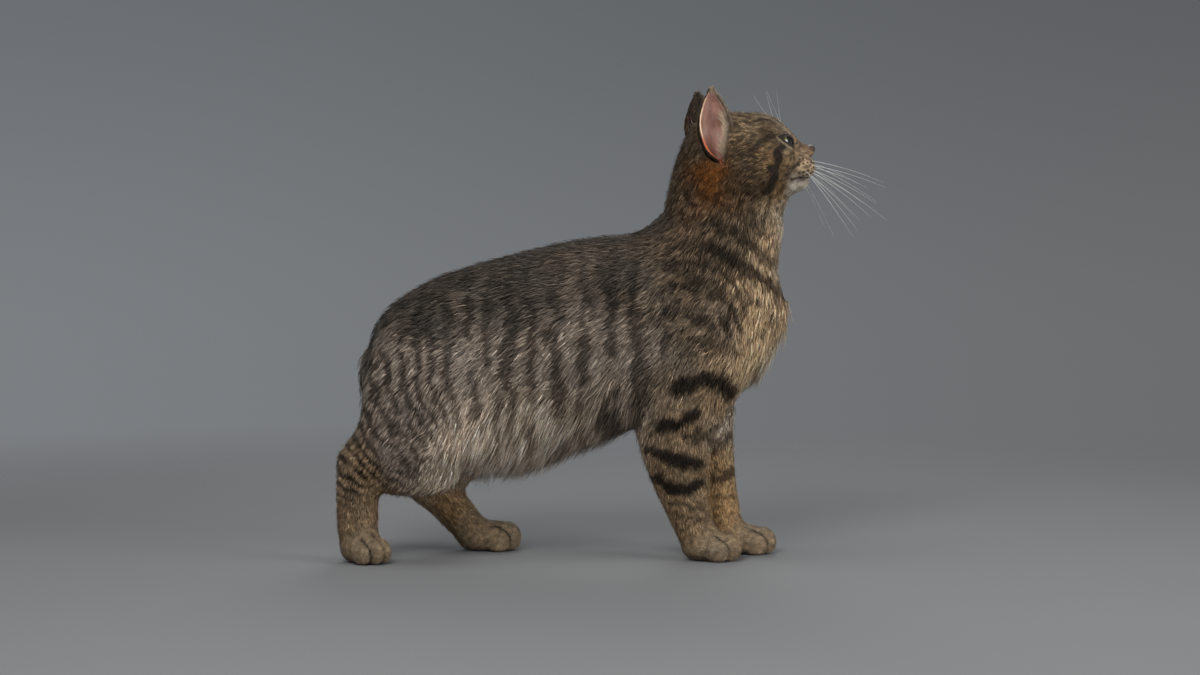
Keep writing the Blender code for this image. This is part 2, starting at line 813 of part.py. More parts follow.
def ear_point(row, degrees, grow, side, spread=1.0):
    """A point of the ear's bowl: row is the middle and half width, degrees runs round its back."""
    middle, wide = row[:3], max(row[3] + grow, 0.4)
    faces = unit(np.array(EAR_FACES))
    across = unit(np.cross((0.0, 0.0, 1.0), faces))
    turn = math.radians(degrees)
    back = -math.cos(turn)
    back *= EAR_DEPTH if back < 0 else spread
    local = middle + wide * (across * math.sin(turn) + faces * back)
    return on_head(local, side)


def ear_mesh(side, rows=13, columns=11):
    """A bowl wrapped round the ear's opening, with an outer and an inner face."""
    table = smooth_rows([(*row, wrap) for row, wrap in zip(EAR, EAR_WRAP)], rows)
    points = []
    for grow in (0.0, -EAR_THICK):
        for row in table:
            for turn in np.linspace(-row[4], row[4], columns):
                points.append(ear_point(row, turn, grow if row[3] > 2.6 else grow / 2, side))
    size = rows * columns
    faces = []
    for level in range(rows - 1):
        for k in range(columns - 1):
            low = level * columns + k
            quad = (low, low + 1, low + columns + 1, low + columns)
            faces.append(quad)
            faces.append(tuple(corner + size for corner in quad[::-1]))
        for k in (0, columns - 1):
            low = level * columns + k
            faces.append((low, low + columns, low + columns + size, low + size))
    for level in (0, rows - 1):
        for k in range(columns - 1):
            low = level * columns + k
            faces.append((low, low + 1, low + 1 + size, low + size))
    return outward("ear", points, faces)


def ear_socket(side, rows=13, columns=20):
    """The ear's bowl and the space before it, as one solid a little larger than the ear."""
    table = smooth_rows(EAR, rows)
    table[0, 2] -= 2 * GAP
    table[-1, 2] += 2 * GAP
    points = [
        ear_point(row, turn, GAP, side, spread=1.6)
        for row in table
        for turn in np.arange(columns) * 360 / columns
    ]
    faces = [tuple(range(columns)), tuple(range((rows - 1) * columns, rows * columns))]
    for level in range(rows - 1):
        for k in range(columns):
            n = (k + 1) % columns
            low, high = level * columns, (level + 1) * columns
            faces.append((low + k, low + n, high + n, high + k))
    return outward("ear socket", points, faces)


def whisker(root, tip, lumps, side):
    """A thin hair that bends a little downwards, rooted in the muzzle."""
    start, slope = on_skin(root, lumps, side)
    end = on_head(tip, side)
    share = np.linspace(0, 1, 6)[:, None]
    path = start + (end - start) * share + np.array((0, 0, -7.0)) * share * (share - 1) * -1
    path = np.vstack([start - slope * 3, path])
    radii = [WHISKER_RADIUS] * 6 + [WHISKER_RADIUS * 0.5]
    return closed_tube(path, radii, sides=4)


def finish_head(head, cat, tools):
    """Gives the head its lids, nostrils, mouth and whiskers, and adds eyes, nose and ears."""
    lumps = flesh_lumps()
    pieces = {}
    cutters = []
    for side, name in ((1, "left"), (-1, "right")):
        centre = on_head(EYE_CENTRE, side)
        pieces[f"eye_{name}"] = new_object(f"eye_{name}", ball(centre, EYE_RADIUS), cat)
        cutters += [ball(centre, EYE_RADIUS + GAP), lid_opening(side), ear_socket(side)]
        pieces[f"ear_{name}"] = new_object(f"ear_{name}", ear_mesh(side), cat)
        line = line_on_skin(MOUTH, lumps, side, 10)
        cutters.append(closed_tube(line, [MOUTH_RADIUS] * len(line), sides=6))
    line = line_on_skin(PHILTRUM, lumps, 1, 5)
    cutters.append(closed_tube(line, [MOUTH_RADIUS] * len(line), sides=6))
    pad = ellipsoid(on_head(NOSE_CENTRE), NOSE_RADII, 0.0, HEAD_YAW)
    hole = ellipsoid(on_head(NOSE_CENTRE), [r + GAP for r in NOSE_RADII], 0.0, HEAD_YAW)
    cutters.append(lump_mesh(hole))
    pieces["nose"] = new_object("nose", lump_mesh(pad), cat)
    nostrils = [
        lump_mesh(ellipsoid(on_head(NOSTRIL, side), NOSTRIL_RADII, 0.0, HEAD_YAW + 25 * side), 10)
        for side in (1, -1)
    ]
    combine(pieces["nose"], nostrils, "DIFFERENCE", tools)
    combine(head, cutters, "DIFFERENCE", tools)
    hairs = [whisker(*ends, lumps, side) for side in (1, -1) for ends in WHISKERS]
    combine(head, hairs, "UNION", tools)
    keep_largest(head)
    return pieces


def finish_of(name):
    for part in ("eye", "ear"):
        if name.startswith(part):
            return {"eye": "eye", "ear": "ear_skin"}[part]
    return "nose_leather" if name == "nose" else "fur"


def main():
    clear_scene()
    cat = new_collection("standing_cat")
    tools = new_collection("cutters")
    flesh = model_flesh(cat)
    pieces = part_flesh(flesh, cat, tools)
    pieces.update(finish_head(pieces["head"], cat, tools))
    for name, obj in pieces.items():
        obj.data.transform(Matrix.Translation(Vector(ORIGIN_SHIFT) * MM))
        obj.data.materials.clear()
        obj.data.materials.append(finish_material(finish_of(name)))
        obj.data.shade_smooth()


main()
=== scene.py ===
import math

import bmesh
import bpy
import numpy as np
from mathutils import Matrix, Vector


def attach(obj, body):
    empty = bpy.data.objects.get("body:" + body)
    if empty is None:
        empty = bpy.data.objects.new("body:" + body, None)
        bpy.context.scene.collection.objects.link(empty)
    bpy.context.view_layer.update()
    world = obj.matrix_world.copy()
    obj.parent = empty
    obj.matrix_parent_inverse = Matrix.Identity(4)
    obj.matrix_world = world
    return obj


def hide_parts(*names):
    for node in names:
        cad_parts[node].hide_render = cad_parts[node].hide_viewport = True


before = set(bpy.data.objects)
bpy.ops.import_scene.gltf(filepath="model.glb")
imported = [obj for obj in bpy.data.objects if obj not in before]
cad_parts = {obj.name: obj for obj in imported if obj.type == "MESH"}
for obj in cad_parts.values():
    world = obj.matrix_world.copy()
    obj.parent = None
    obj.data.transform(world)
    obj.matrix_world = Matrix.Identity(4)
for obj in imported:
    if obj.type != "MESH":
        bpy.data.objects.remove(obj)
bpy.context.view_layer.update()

MM = 0.001
ORIGIN_SHIFT = np.array((-28.15, -6.02, 0.0))
FAR = 60.0
PROBE = 0.5
ROUGH_VOXEL, FINE_VOXEL = 2.8, 2.35
# Lowest heights over the floor of the skin, of a hanging tuft's tip and of the coat
SKIN_LEVEL, TIP_LEVEL, COAT_LEVEL = 0.6, 0.3, 0.1
# Where the head and the face begin, with the head straight
HEAD_FROM_X, HEAD_FROM_Z, FACE_FROM_X, FACE_FROM_Z = 92, 300, 140, 288
# Tufts on a square millimetre: DENSITY over their length, with more of the long ones
DENSITY, MOST_DENSE, LONG_SHARE, SHORT_HAIR = 9.6, 3.4, 1.42, 5.0
# How far the bend and the tip of the belly's fringe hang down
MID_HANG, TIP_HANG = 3.5, 13.0
SIDES = {1: "left", -1: "right"}
LIMB_PARTS = ("upper_arm", "forearm", "forepaw", "thigh", "shank", "hindpaw")
FLESH_NODES = ["head", "neck", "torso"]
FLESH_NODES += [f"{part}_{name}" for part in LIMB_PARTS for name in SIDES.values()]

# Reach over which neighbours flow into each other
BODY_BLEND, SHOULDER_BLEND, LEG_BLEND, HEAD_BLEND = 26.0, 18.0, 14.0, 8.0
MUZZLE_BLEND, NECK_BLEND, TOE_BLEND, LID_BLEND, ANKLE_BLEND = 4.0, 20.0, 2.5, 5.0, 9.0

# Torso: x, top z, bottom z, half width
TORSO = (
    (-166, 168, 124, 19), (-161, 182, 106, 29), (-148, 202, 90, 42), (-120, 221, 77, 48),
    (-85, 234, 68, 51), (-45, 245, 69, 54), (0, 255, 86, 54), (40, 259, 100, 51),
    (80, 258, 105, 46), (112, 250, 114, 41), (140, 236, 140, 33), (155, 223, 162, 24),
    (161, 214, 177, 17),
)
# Limbs and neck: x, y, z of the middle line, radius in the side view, radius across
NECK = (
    (96, 0, 205, 50, 28), (108, 0, 237, 54, 36), (117, 0, 268, 49, 34),
    (119, 0, 294, 45, 31), (124, 0, 314, 38, 30), (128, 0, 328, 33, 28),
)
FORELEG_LEFT = (
    (102, 22, 200, 26, 13), (104, 30, 165, 34, 18), (97, 31, 130, 34, 20), (98, 29, 104, 31, 19),
    (103.5, 27, 80, 25.5, 17.5), (108, 24, 60, 22, 16), (113.5, 21, 42, 18.5, 14.5),
    (119, 18, 26, 16, 14), (126, 17, 14, 14, 13.5),
)
FORELEG_RIGHT = (
    (102, 22, 200, 26, 13), (100, 30, 165, 34, 18), (85, 31, 130, 37, 20), (79, 29, 104, 32, 19),
    (81, 27, 80, 26.5, 17.5), (85, 24, 60, 22.5, 16), (89.5, 22, 42, 18.5, 14.5),
    (94.5, 20, 27, 16.5, 14), (99, 20, 14, 14.5, 13.5),
)
THIGH_LEFT = (
    (-118, 24, 184, 30, 15), (-118, 36, 155, 43, 21), (-110, 40, 120, 48, 21), (-94, 40, 88, 33, 18),
)
THIGH_RIGHT = (
    (-118, 24, 184, 30, 15), (-118, 36, 155, 45, 21), (-116, 40, 122, 53, 22), (-110, 40, 95, 44, 20),
)
SHANK_LEFT = (
    (-90, 39, 92, 31, 17), (-105, 39, 74, 26, 16), (-121, 38, 59, 19, 14.5), (-127, 37, 52, 14, 13),
)
SHANK_RIGHT = (
    (-102, 39, 90, 33, 18), (-128, 39, 88, 35, 18), (-152, 37, 85, 32, 16), (-170, 35, 79, 22, 14),
)
METATARSUS_LEFT = (
    (-127, 37, 60, 16, 13.5), (-111, 37, 45, 16, 14), (-95, 37, 27, 15, 14), (-84, 37, 14, 13, 13.5),
)
METATARSUS_RIGHT = (
    (-172, 35, 82, 16.5, 13), (-172.5, 34, 54, 17, 13.5), (-172.5, 31, 28, 16.5, 14),
    (-171, 30, 14, 15, 14),
)
# Paws: the heel's place, the turn of the toes outwards in degrees, and the size
PAWS = (
    ((96, -20, 0), 10, 1.0), ((126, 17, 0), 4, 1.0), ((-175, -30, 0), 38, 0.95), ((-84, 37, 0), 3, 1.07),
)
PALM = ((7, 0, 11), (17, 14.5, 13))
KNUCKLES = ((17, 0, 13), (11, 13, 11))
TOES = (
    ((18, 11.5, 8.5), (10, 5.8, 9.5)), ((25.5, 4.4, 11), (11, 5.8, 12)),
    ((25.5, -4.4, 11), (11, 5.8, 12)), ((18, -11.5, 8.5), (10, 5.8, 9.5)),
)
SOLE_FLAT = 0.8
# Head before its turn: centre and radii of each lump, with its pitch
HEAD_PIVOT = np.array((118.0, 0.0, 300.0))
HEAD_YAW = 7.0
HEAD_MIDDLE_LUMPS = (
    ((123.5, 0, 321), (37, 33, 34.5), 0), ((146, 0, 331.5), (24, 24, 24), 0),
    ((156, 0, 316), (24, 20, 20), 0), ((169, 0, 333.5), (21, 8, 7.5), 42),
    ((152, 0, 303), (27, 21, 17), 0),
)
HEAD_SIDE_LUMPS = (
    ((138, 18, 309), (26, 21, 19), 0), ((153, 19, 320), (17, 11, 10), 10),
    ((151, 14.5, 344), (15, 10.5, 8.5), 30),
)
MUZZLE_MIDDLE_LUMPS = (
    ((170, 0, 313), (20, 13, 13), 0), ((186.5, 0, 325.5), (5.2, 5.8, 4.6), 0),
    ((176, 0, 300.5), (11.5, 10, 7.5), 0),
)
MUZZLE_SIDE_LUMPS = (((178.5, 9, 312.2), (12.5, 10.3, 9.8), 0),)
# Eyes, nose leather and the line of the mouth
EYE_CENTRE = (159.6, 17.0, 332.0)
EYE_RADIUS = 10.2
LID_THICK = 1.5
EYE_TURN, EYE_RISE = 45.0, 6.0
SLIT_LENGTH, SLIT_HEIGHT, SLIT_SLOPE = 19.0, 7.4, 20.0
NOSE_CENTRE = (188.2, 0.0, 326.2)
NOSE_RADII = (4.7, 6.5, 4.5)
MOUTH = ((169, 20, 301), (175, 17, 302), (181, 13, 303.5), (186, 8, 305), (189.5, 3, 307), (191, 0, 309))
PHILTRUM = ((191, 0, 309), (192, 0, 314), (192, 0, 320))
# Ears, on the left: x, y, z of the middle of the opening and its half width, from notch to tip
EAR = (
    (111.5, 30.0, 314.0, 3.0), (107.0, 31.0, 325.0, 10.0), (105.5, 31.0, 344.0, 14.0),
    (104.0, 33.0, 361.0, 9.0), (101.7, 34.5, 371.5, 1.8),
)
EAR_WRAP = (150, 104, 92, 80, 62)
EAR_FACES = (0.36, 0.92, 0.12)
EAR_DEPTH = 0.8
EAR_THICK = 1.3
# Whiskers on the left: root and tip
WHISKERS = (
    ((186, 12, 316), (238, 45, 300)), ((187, 11, 313), (243, 30, 296)), ((183, 14, 314), (228, 62, 285)),
    ((185, 13, 311), (240, 48, 270)), ((187, 11, 309), (232, 30, 272)), ((181, 15, 310), (214, 60, 262)),
    ((184, 13, 307), (216, 36, 256)), ((186, 10, 311), (238, 22, 283)),
)
BROW_WHISKERS = (((162, 16, 350), (147, 30, 372)), ((164, 13, 351), (156, 22, 374)))
# Each kind with its radius at the root and its droop
HAIRS = ((WHISKERS, 0.16, 7.0), (BROW_WHISKERS, 0.08, -3.0))

# Pelt colours, between the stripes and in them
PELT = {
    "back": ((0.072, 0.060, 0.050), (0.029, 0.024, 0.020)),
    "flank": ((0.305, 0.258, 0.218), (0.078, 0.064, 0.052)),
    "belly": ((0.80, 0.67, 0.54), (0.29, 0.23, 0.18)),
    "chest": ((0.66, 0.475, 0.29), (0.075, 0.052, 0.036)),
    "throat": ((0.90, 0.75, 0.57), (0.34, 0.25, 0.17)),
    "neck": ((0.135, 0.099, 0.065), (0.020, 0.015, 0.010)),
    "shoulder": ((0.205, 0.157, 0.114), (0.020, 0.015, 0.010)),
    "leg": ((0.31, 0.22, 0.135), (0.016, 0.012, 0.009)),
    "inner": ((0.50, 0.325, 0.165), (0.05, 0.032, 0.018)),
    "hock": ((0.54, 0.38, 0.255), (0.13, 0.095, 0.07)),
    "paw": ((0.32, 0.24, 0.155), (0.11, 0.08, 0.055)),
    "head": ((0.138, 0.092, 0.050), (0.022, 0.015, 0.009)),
    "crown": ((0.37, 0.27, 0.165), (0.026, 0.018, 0.011)),
    "brow": ((0.36, 0.265, 0.165), (0.042, 0.031, 0.022)),
    "cheek": ((0.32, 0.20, 0.092), (0.026, 0.018, 0.012)),
    "bridge": ((0.17, 0.105, 0.06), (0.05, 0.034, 0.024)),
    "muzzle": ((0.60, 0.43, 0.26), (0.05, 0.034, 0.022)),
    "chin": ((0.97, 0.85, 0.69), (0.4, 0.33, 0.26)),
    "patch": ((0.22, 0.082, 0.017), (0.12, 0.046, 0.012)),
}
NOSE_SURROUND, LIP_LINE = (0.14, 0.085, 0.055), (0.05, 0.032, 0.025)
EYE_RING, EYE_LINER, SOLE_PAD = (0.62, 0.48, 0.33), (0.02, 0.015, 0.012), (0.13, 0.075, 0.06)
# The deep ear colour is the bowl's pink darkened as painted shade for its foot
EAR_PINK, EAR_DEEP_SHADE, EAR_BACK = (0.36, 0.205, 0.165), (0.20, 0.085, 0.06), (0.2, 0.145, 0.105)
EAR_AMBER, EAR_CORAL = (0.80, 0.56, 0.40), (0.72, 0.17, 0.05)
# The lie of the coat, on the left side: place, lie, depth over the skin, length, pelt
GUIDES = (
    ((189, 3, 332), (-0.9, 0.1, 0.4), 0.3, 1.5, "bridge"),
    ((180, 0, 338), (-0.9, 0.0, 0.45), 0.5, 2.2, "bridge"),
    ((166, 0, 350), (-0.9, 0.0, 0.4), 1.0, 4.0, "crown"),
    ((168, 11, 342), (-0.85, 0.3, 0.4), 0.6, 2.4, "brow"),
    ((160, 19, 349), (-0.9, 0.35, 0.2), 1.0, 3.6, "brow"),
    ((148, 27, 340), (-0.95, 0.25, 0.0), 1.4, 4.6, "head"),
    ((166, 25, 331), (-0.8, 0.5, 0.0), 0.15, 1.2, "brow"),
    ((168, 21, 319), (-0.85, 0.4, -0.3), 0.6, 2.6, "cheek"),
    ((155, 29, 316), (-0.95, 0.1, -0.25), 1.4, 5.0, "cheek"),
    ((182, 15, 315), (-0.6, 0.55, -0.55), 0.7, 2.4, "muzzle"),
    ((190, 6, 316), (-0.1, 0.6, -0.8), 0.5, 1.7, "muzzle"),
    ((184, 0, 299), (-0.35, 0.0, -0.95), 0.8, 3.4, "chin"),
    ((174, 12, 297), (-0.75, 0.2, -0.6), 0.9, 3.8, "chin"),
    ((160, 0, 287), (-0.7, 0.0, -0.7), 2.0, 7.0, "throat"),
    ((160, 21, 297), (-0.85, 0.1, -0.5), 1.8, 5.6, "cheek"),
    ((140, 35, 302), (-0.7, 0.1, -0.7), 2.4, 8.0, "head"),
    ((128, 36, 320), (-0.8, 0.1, -0.5), 2.0, 7.0, "head"),
    ((140, 0, 358), (-1.0, 0.0, 0.1), 1.8, 5.5, "crown"),
    ((138, 24, 347), (-0.95, 0.2, 0.1), 1.4, 5.0, "crown"),
    ((118, 0, 354), (-0.8, 0.0, -0.5), 2.4, 8.0, "crown"),
    ((94, 0, 338), (-0.45, 0.0, -0.9), 3.0, 10.0, "neck"),
    ((92, 27, 325), (-0.4, 0.0, -0.9), 2.6, 9.0, "neck"),
    ((118, 34, 303), (-0.45, 0.1, -0.9), 2.6, 9.0, "head"),
    ((101, 34, 300), (-0.3, 0.1, -0.95), 1.6, 5.0, "patch"),
    ((96, 31, 312), (-0.3, 0.1, -0.95), 1.6, 5.0, "patch"),
    ((109, 36, 308), (-0.3, 0.1, -0.95), 1.6, 5.0, "patch"),
    ((80, 0, 302), (-0.5, 0.0, -0.85), 4.0, 13.0, "neck"),
    ((85, 26, 295), (-0.45, 0.0, -0.9), 4.0, 13.0, "neck"),
    ((68, 0, 270), (-0.8, 0.0, -0.6), 4.5, 16.0, "back"),
    ((106, 36, 270), (-0.4, 0.0, -0.9), 4.5, 15.0, "neck"),
    ((122, 36, 250), (-0.35, 0.0, -0.93), 4.5, 15.0, "neck"),
    ((140, 31, 268), (-0.25, 0.0, -0.97), 4.5, 15.0, "neck"),
    ((152, 24, 255), (-0.1, 0.0, -1.0), 5.0, 16.0, "chest"),
    ((165, 0, 268), (0.0, 0.0, -1.0), 4.0, 14.0, "throat"),
    ((166, 0, 240), (0.05, 0.0, -1.0), 5.5, 17.0, "throat"),
    ((148, 32, 228), (-0.25, 0.0, -0.95), 5.0, 16.0, "chest"),
    ((98, 46, 228), (-0.6, 0.0, -0.8), 4.5, 15.0, "neck"),
    ((171, 0, 203), (-0.1, 0.0, -1.0), 6.0, 19.0, "chest"),
    ((160, 0, 170), (-0.5, 0.0, -0.86), 6.0, 19.0, "throat"),
    ((150, 24, 190), (-0.35, 0.0, -0.93), 5.5, 17.0, "chest"),
    ((138, 26, 158), (-0.5, 0.0, -0.85), 5.0, 16.0, "chest"),
    ((125, 0, 125), (-0.8, 0.0, -0.6), 5.0, 16.0, "belly"),
    ((40, 0, 259), (-1.0, 0.0, -0.1), 4.0, 15.0, "back"),
    ((-30, 0, 250), (-1.0, 0.0, -0.15), 4.0, 15.0, "back"),
    ((-90, 0, 235), (-0.95, 0.0, -0.3), 4.0, 15.0, "back"),
    ((-140, 0, 210), (-0.75, 0.0, -0.65), 4.5, 16.0, "back"),
    ((-165, 0, 185), (-0.45, 0.0, -0.9), 5.0, 17.0, "back"),
    ((-172, 0, 152), (-0.1, 0.0, -1.0), 5.0, 15.0, "flank"),
    ((45, 44, 228), (-0.9, 0.0, -0.45), 4.0, 15.0, "back"),
    ((-40, 46, 220), (-0.9, 0.0, -0.4), 4.5, 16.0, "back"),
    ((-115, 44, 195), (-0.85, 0.0, -0.5), 4.5, 16.0, "back"),
    ((60, 52, 175), (-0.75, 0.0, -0.65), 4.5, 16.0, "flank"),
    ((0, 55, 165), (-0.85, 0.0, -0.5), 5.0, 17.0, "flank"),
    ((-60, 55, 160), (-0.85, 0.0, -0.5), 5.0, 17.0, "flank"),
    ((40, 50, 122), (-0.6, 0.0, -0.8), 5.5, 19.0, "flank"),
    ((-15, 48, 100), (-0.6, 0.0, -0.8), 6.5, 22.0, "belly"),
    ((-60, 48, 88), (-0.55, 0.0, -0.85), 6.5, 22.0, "belly"),
    ((30, 0, 95), (-0.9, 0.0, -0.3), 6.0, 18.0, "belly"),
    ((-30, 0, 75), (-0.9, 0.0, -0.3), 6.0, 18.0, "belly"),
    ((-75, 0, 66), (-0.8, 0.0, -0.5), 5.0, 16.0, "belly"),
    ((-120, 60, 165), (-0.7, 0.0, -0.7), 4.5, 16.0, "flank"),
    ((-152, 46, 150), (-0.55, 0.0, -0.8), 4.5, 15.0, "flank"),
    ((-120, 62, 120), (-0.5, 0.0, -0.85), 4.5, 15.0, "flank"),
    ((-88, 60, 86), (-0.5, 0.0, -0.87), 5.5, 18.0, "belly"),
    ((-85, 56, 100), (-0.5, 0.0, -0.87), 5.5, 18.0, "belly"),
    ((90, 48, 190), (-0.55, 0.0, -0.8), 4.5, 15.0, "shoulder"),
    ((118, 44, 200), (-0.5, 0.0, -0.85), 4.5, 15.0, "shoulder"),
    ((72, 50, 212), (-0.65, 0.0, -0.75), 4.5, 15.0, "shoulder"),
    ((85, 50, 150), (-0.4, 0.0, -0.9), 4.0, 13.0, "shoulder"),
    ((110, 46, 140), (-0.4, 0.0, -0.9), 4.0, 12.0, "leg"),
    ((-100, 20, 75), (-0.5, 0.0, -0.8), 3.0, 10.0, "belly"),
)
GUIDES_LEFT = (
    ((98, 48, 110), (-0.15, 0.0, -1.0), 3.0, 9.0, "leg"),
    ((98, 10, 110), (-0.1, 0.0, -1.0), 3.0, 9.0, "belly"),
    ((105, 44, 75), (0.1, 0.0, -1.0), 2.2, 7.0, "leg"),
    ((105, 10, 75), (0.1, 0.0, -1.0), 2.2, 7.0, "inner"),
    ((114, 36, 42), (0.25, 0.0, -1.0), 1.8, 5.5, "leg"),
    ((114, 7, 42), (0.25, 0.0, -1.0), 1.8, 5.5, "inner"),
    ((142, 17, 14), (0.85, 0.0, -0.5), 1.0, 3.0, "paw"),
    ((-105, 55, 75), (-0.6, 0.0, -0.75), 3.5, 10.0, "leg"),
    ((-122, 37, 50), (-0.1, 0.0, -1.0), 2.2, 7.0, "hock"),
    ((-105, 50, 38), (0.6, 0.0, -0.75), 2.0, 6.0, "leg"),
    ((-105, 22, 38), (0.6, 0.0, -0.75), 2.0, 6.0, "inner"),
    ((-88, 24, 24), (0.7, 0.0, -0.6), 1.6, 5.0, "paw"),
    ((-66, 37, 14), (0.85, 0.0, -0.5), 1.0, 3.0, "paw"),
)
GUIDES_RIGHT = (
    ((80, 48, 110), (-0.15, 0.0, -1.0), 3.0, 9.0, "leg"),
    ((80, 10, 110), (-0.1, 0.0, -1.0), 3.0, 9.0, "belly"),
    ((83, 44, 75), (0.05, 0.0, -1.0), 2.2, 7.0, "leg"),
    ((83, 10, 75), (0.05, 0.0, -1.0), 2.2, 7.0, "inner"),
    ((90, 38, 42), (0.2, 0.0, -1.0), 1.8, 5.5, "leg"),
    ((90, 8, 42), (0.2, 0.0, -1.0), 1.8, 5.5, "inner"),
    ((112, 21, 14), (0.85, 0.1, -0.5), 1.0, 3.0, "paw"),
    ((-138, 55, 90), (-0.6, 0.0, -0.8), 3.5, 11.0, "flank"),
    ((-162, 45, 74), (-0.5, 0.0, -0.85), 2.6, 8.0, "leg"),
    ((-172, 46, 48), (0.0, 0.0, -1.0), 2.0, 6.0, "leg"),
    ((-172, 18, 48), (0.0, 0.0, -1.0), 2.0, 6.0, "inner"),
    ((-190, 32, 62), (0.0, 0.0, -1.0), 2.0, 6.0, "hock"),
    ((-160, 38, 14), (0.75, 0.45, -0.5), 1.0, 3.0, "paw"),
)
# Dark strokes: points x, z in the side view, half width, strength, least |y|, and side (0 for both)
STROKES = (
    (((161, 335), (156, 322), (152, 308), (147, 291)), 4.8, 1.0, 12, 0),
    (((157, 338), (145, 333), (132, 326)), 2.6, 0.85, 15, 0),
    (((175, 327), (179, 322), (184, 318)), 1.6, 0.6, 5, 0),
    (((176, 317), (170, 312), (165, 306)), 2.0, 0.9, 8, 0),
    (((104, 248), (126, 236), (146, 223), (168, 209)), 6.2, 1.0, 0, 0),
    (((106, 268), (124, 257), (142, 245), (156, 235)), 5.0, 0.85, 0, 0),
    (((98, 288), (116, 278), (134, 268)), 4.5, 0.7, 0, 0),
    (((44, 196), (49, 170), (52, 145), (50, 120)), 7.0, 0.85, 0, 0),
    (((80, 138), (96, 144), (112, 143), (122, 134)), 7.0, 1.0, 20, 0),
    (((100, 175), (114, 171), (125, 164)), 5.0, 0.7, 0, 0),
    (((62, 216), (80, 202), (98, 191)), 5.0, 0.5, 0, 0),
    (((70, 237), (92, 223), (113, 212)), 5.0, 0.55, 0, 0),
    (((64, 190), (80, 176), (92, 164)), 4.0, 0.5, 0, 0),
    (((66, 108), (80, 110), (92, 118)), 6.0, 1.0, 0, -1),
    (((86, 100), (96, 98), (104, 102)), 4.0, 0.8, 0, -1),
    (((57, 88), (76, 82), (96, 78)), 6.0, 1.0, 0, -1),
    (((64, 66), (80, 57), (100, 62)), 5.0, 1.0, 0, -1),
    (((96, 104), (107, 95)), 4.0, 0.8, 0, -1),
    (((76, 46), (100, 42)), 1.8, 0.6, 0, -1),
    (((80, 37), (104, 33)), 1.6, 0.5, 0, -1),
    (((86, 112), (104, 108), (124, 116)), 5.0, 0.8, 0, 1),
    (((86, 88), (106, 84), (124, 94)), 4.5, 0.9, 0, 1),
    (((92, 66), (110, 60), (128, 66)), 4.0, 0.85, 0, 1),
    (((100, 49), (126, 46)), 1.8, 0.5, 0, 1),
)

# Bake charts: where each limb's unwrap lies in the unit square
CHARTS = {
    "trunk": (0.01, 0.01, 0.62, 0.60), "neck": (0.64, 0.01, 0.99, 0.26), "head": (0.64, 0.28, 0.99, 0.60),
    "foreleg_left": (0.01, 0.62, 0.24, 0.80), "foreleg_right": (0.26, 0.62, 0.49, 0.80),
    "hindleg_left": (0.51, 0.62, 0.74, 0.80), "hindleg_right": (0.76, 0.62, 0.99, 0.80),
    "paws": (0.01, 0.82, 0.74, 0.98), "ears": (0.76, 0.82, 0.99, 0.98),
}
LIMBS = list(CHARTS)[:8]
PATCH = 0.003
# The most tufts of a piece: under 200,000 triangles, of four for a short tuft and six for a bent one
MOST_SHORT, MOST_BENT = 48000, 32000
# Tufts of each ear: number, spans up it and across it, rim (1 front, -1 rear, 0 both), lie up and
# forwards, lift, length, width, depth of the root, colour
EAR_TUFTS = (
    (6500, (0.02, 0.99), (-0.97, 0.97), 0, (1.0, 0.0), 0.14, 4.0, 0.45, 0.05, (0.36, 0.27, 0.19)),
    (1400, (0.1, 1.0), (0.9, 1), 1, (0.9, 0.3), 0.35, 5.0, 0.42, 0.05, (0.30, 0.24, 0.18)),
    (700, (0.05, 1.0), (0.97, 1), -1, (1.0, 0.15), 0.05, 1.8, 0.32, 0.05, (0.62, 0.45, 0.31)),
    (320, (0.94, 1.0), (-1, 1), 0, (1.0, -0.2), 0.2, 3.2, 0.4, 0.05, (0.10, 0.08, 0.06)),
    (420, (0.08, 0.6), (0.78, 0.99), 1, (1.0, 0.1), -0.9, 12.0, 0.3, EAR_THICK, (0.56, 0.46, 0.35)),
    (420, (0.08, 0.6), (0.78, 0.99), 1, (1.0, 0.1), -0.55, 9.0, 0.3, EAR_THICK, (0.336, 0.276, 0.21)),
    (420, (0.08, 0.6), (0.78, 0.99), 1, (1.0, 0.1), -1.3, 7.0, 0.3, EAR_THICK, (0.448, 0.368, 0.28)),
    (420, (0.08, 0.6), (0.78, 0.99), 1, (1.0, 0.1), -0.3, 6.0, 0.3, EAR_THICK, (0.252, 0.207, 0.1575)),
)
# Studio, in metres: name, place, aim, size, power and colour of each light, then the camera
LIGHTS = (
    ("key", (-0.45, -1.5, 1.25), (0.0, 0.0, 0.18), 0.9, 21.0, (1.0, 0.985, 0.965)),
    ("top", (-0.1, -0.15, 1.6), (0.0, 0.0, 0.1), 0.8, 6.0, (1.0, 0.99, 0.98)),
    ("fill", (1.4, -0.8, 0.45), (0.08, 0.0, 0.22), 0.9, 14.0, (1.0, 0.985, 0.96)),
    ("rear", (0.2, 1.5, 1.3), (0.0, 0.0, 0.18), 1.1, 8.0, (1.0, 1.0, 1.0)),
)
CAMERA_PLACE, CAMERA_DOWN, LENS, SENSOR = (-0.00895, -2.006, 0.280), 2.965, 75.0, 36.0
FLOOR_RADIUS, FLOOR_CLEAR = 1.45, (0.5, 1.35)
RANDOM = np.random.default_rng(7)


def unit(rows):
    return rows / np.maximum(np.linalg.norm(rows, axis=-1, keepdims=True), 1e-12)


def smoothstep(low, high, value):
    """3t^2 - 2t^3 of the value's share between low and high."""
    t = np.clip((value - low) / (high - low), 0, 1)
    return t * t * (3 - 2 * t)


def around(count):
    """The angles of count places round a circle."""
    return np.arange(count) * 2 * np.pi / count


def nearest(points, spots):
    """Each point's distance from the nearest of the spots."""
    return np.linalg.norm(points[:, None] - spots[None], axis=2).min(axis=1)


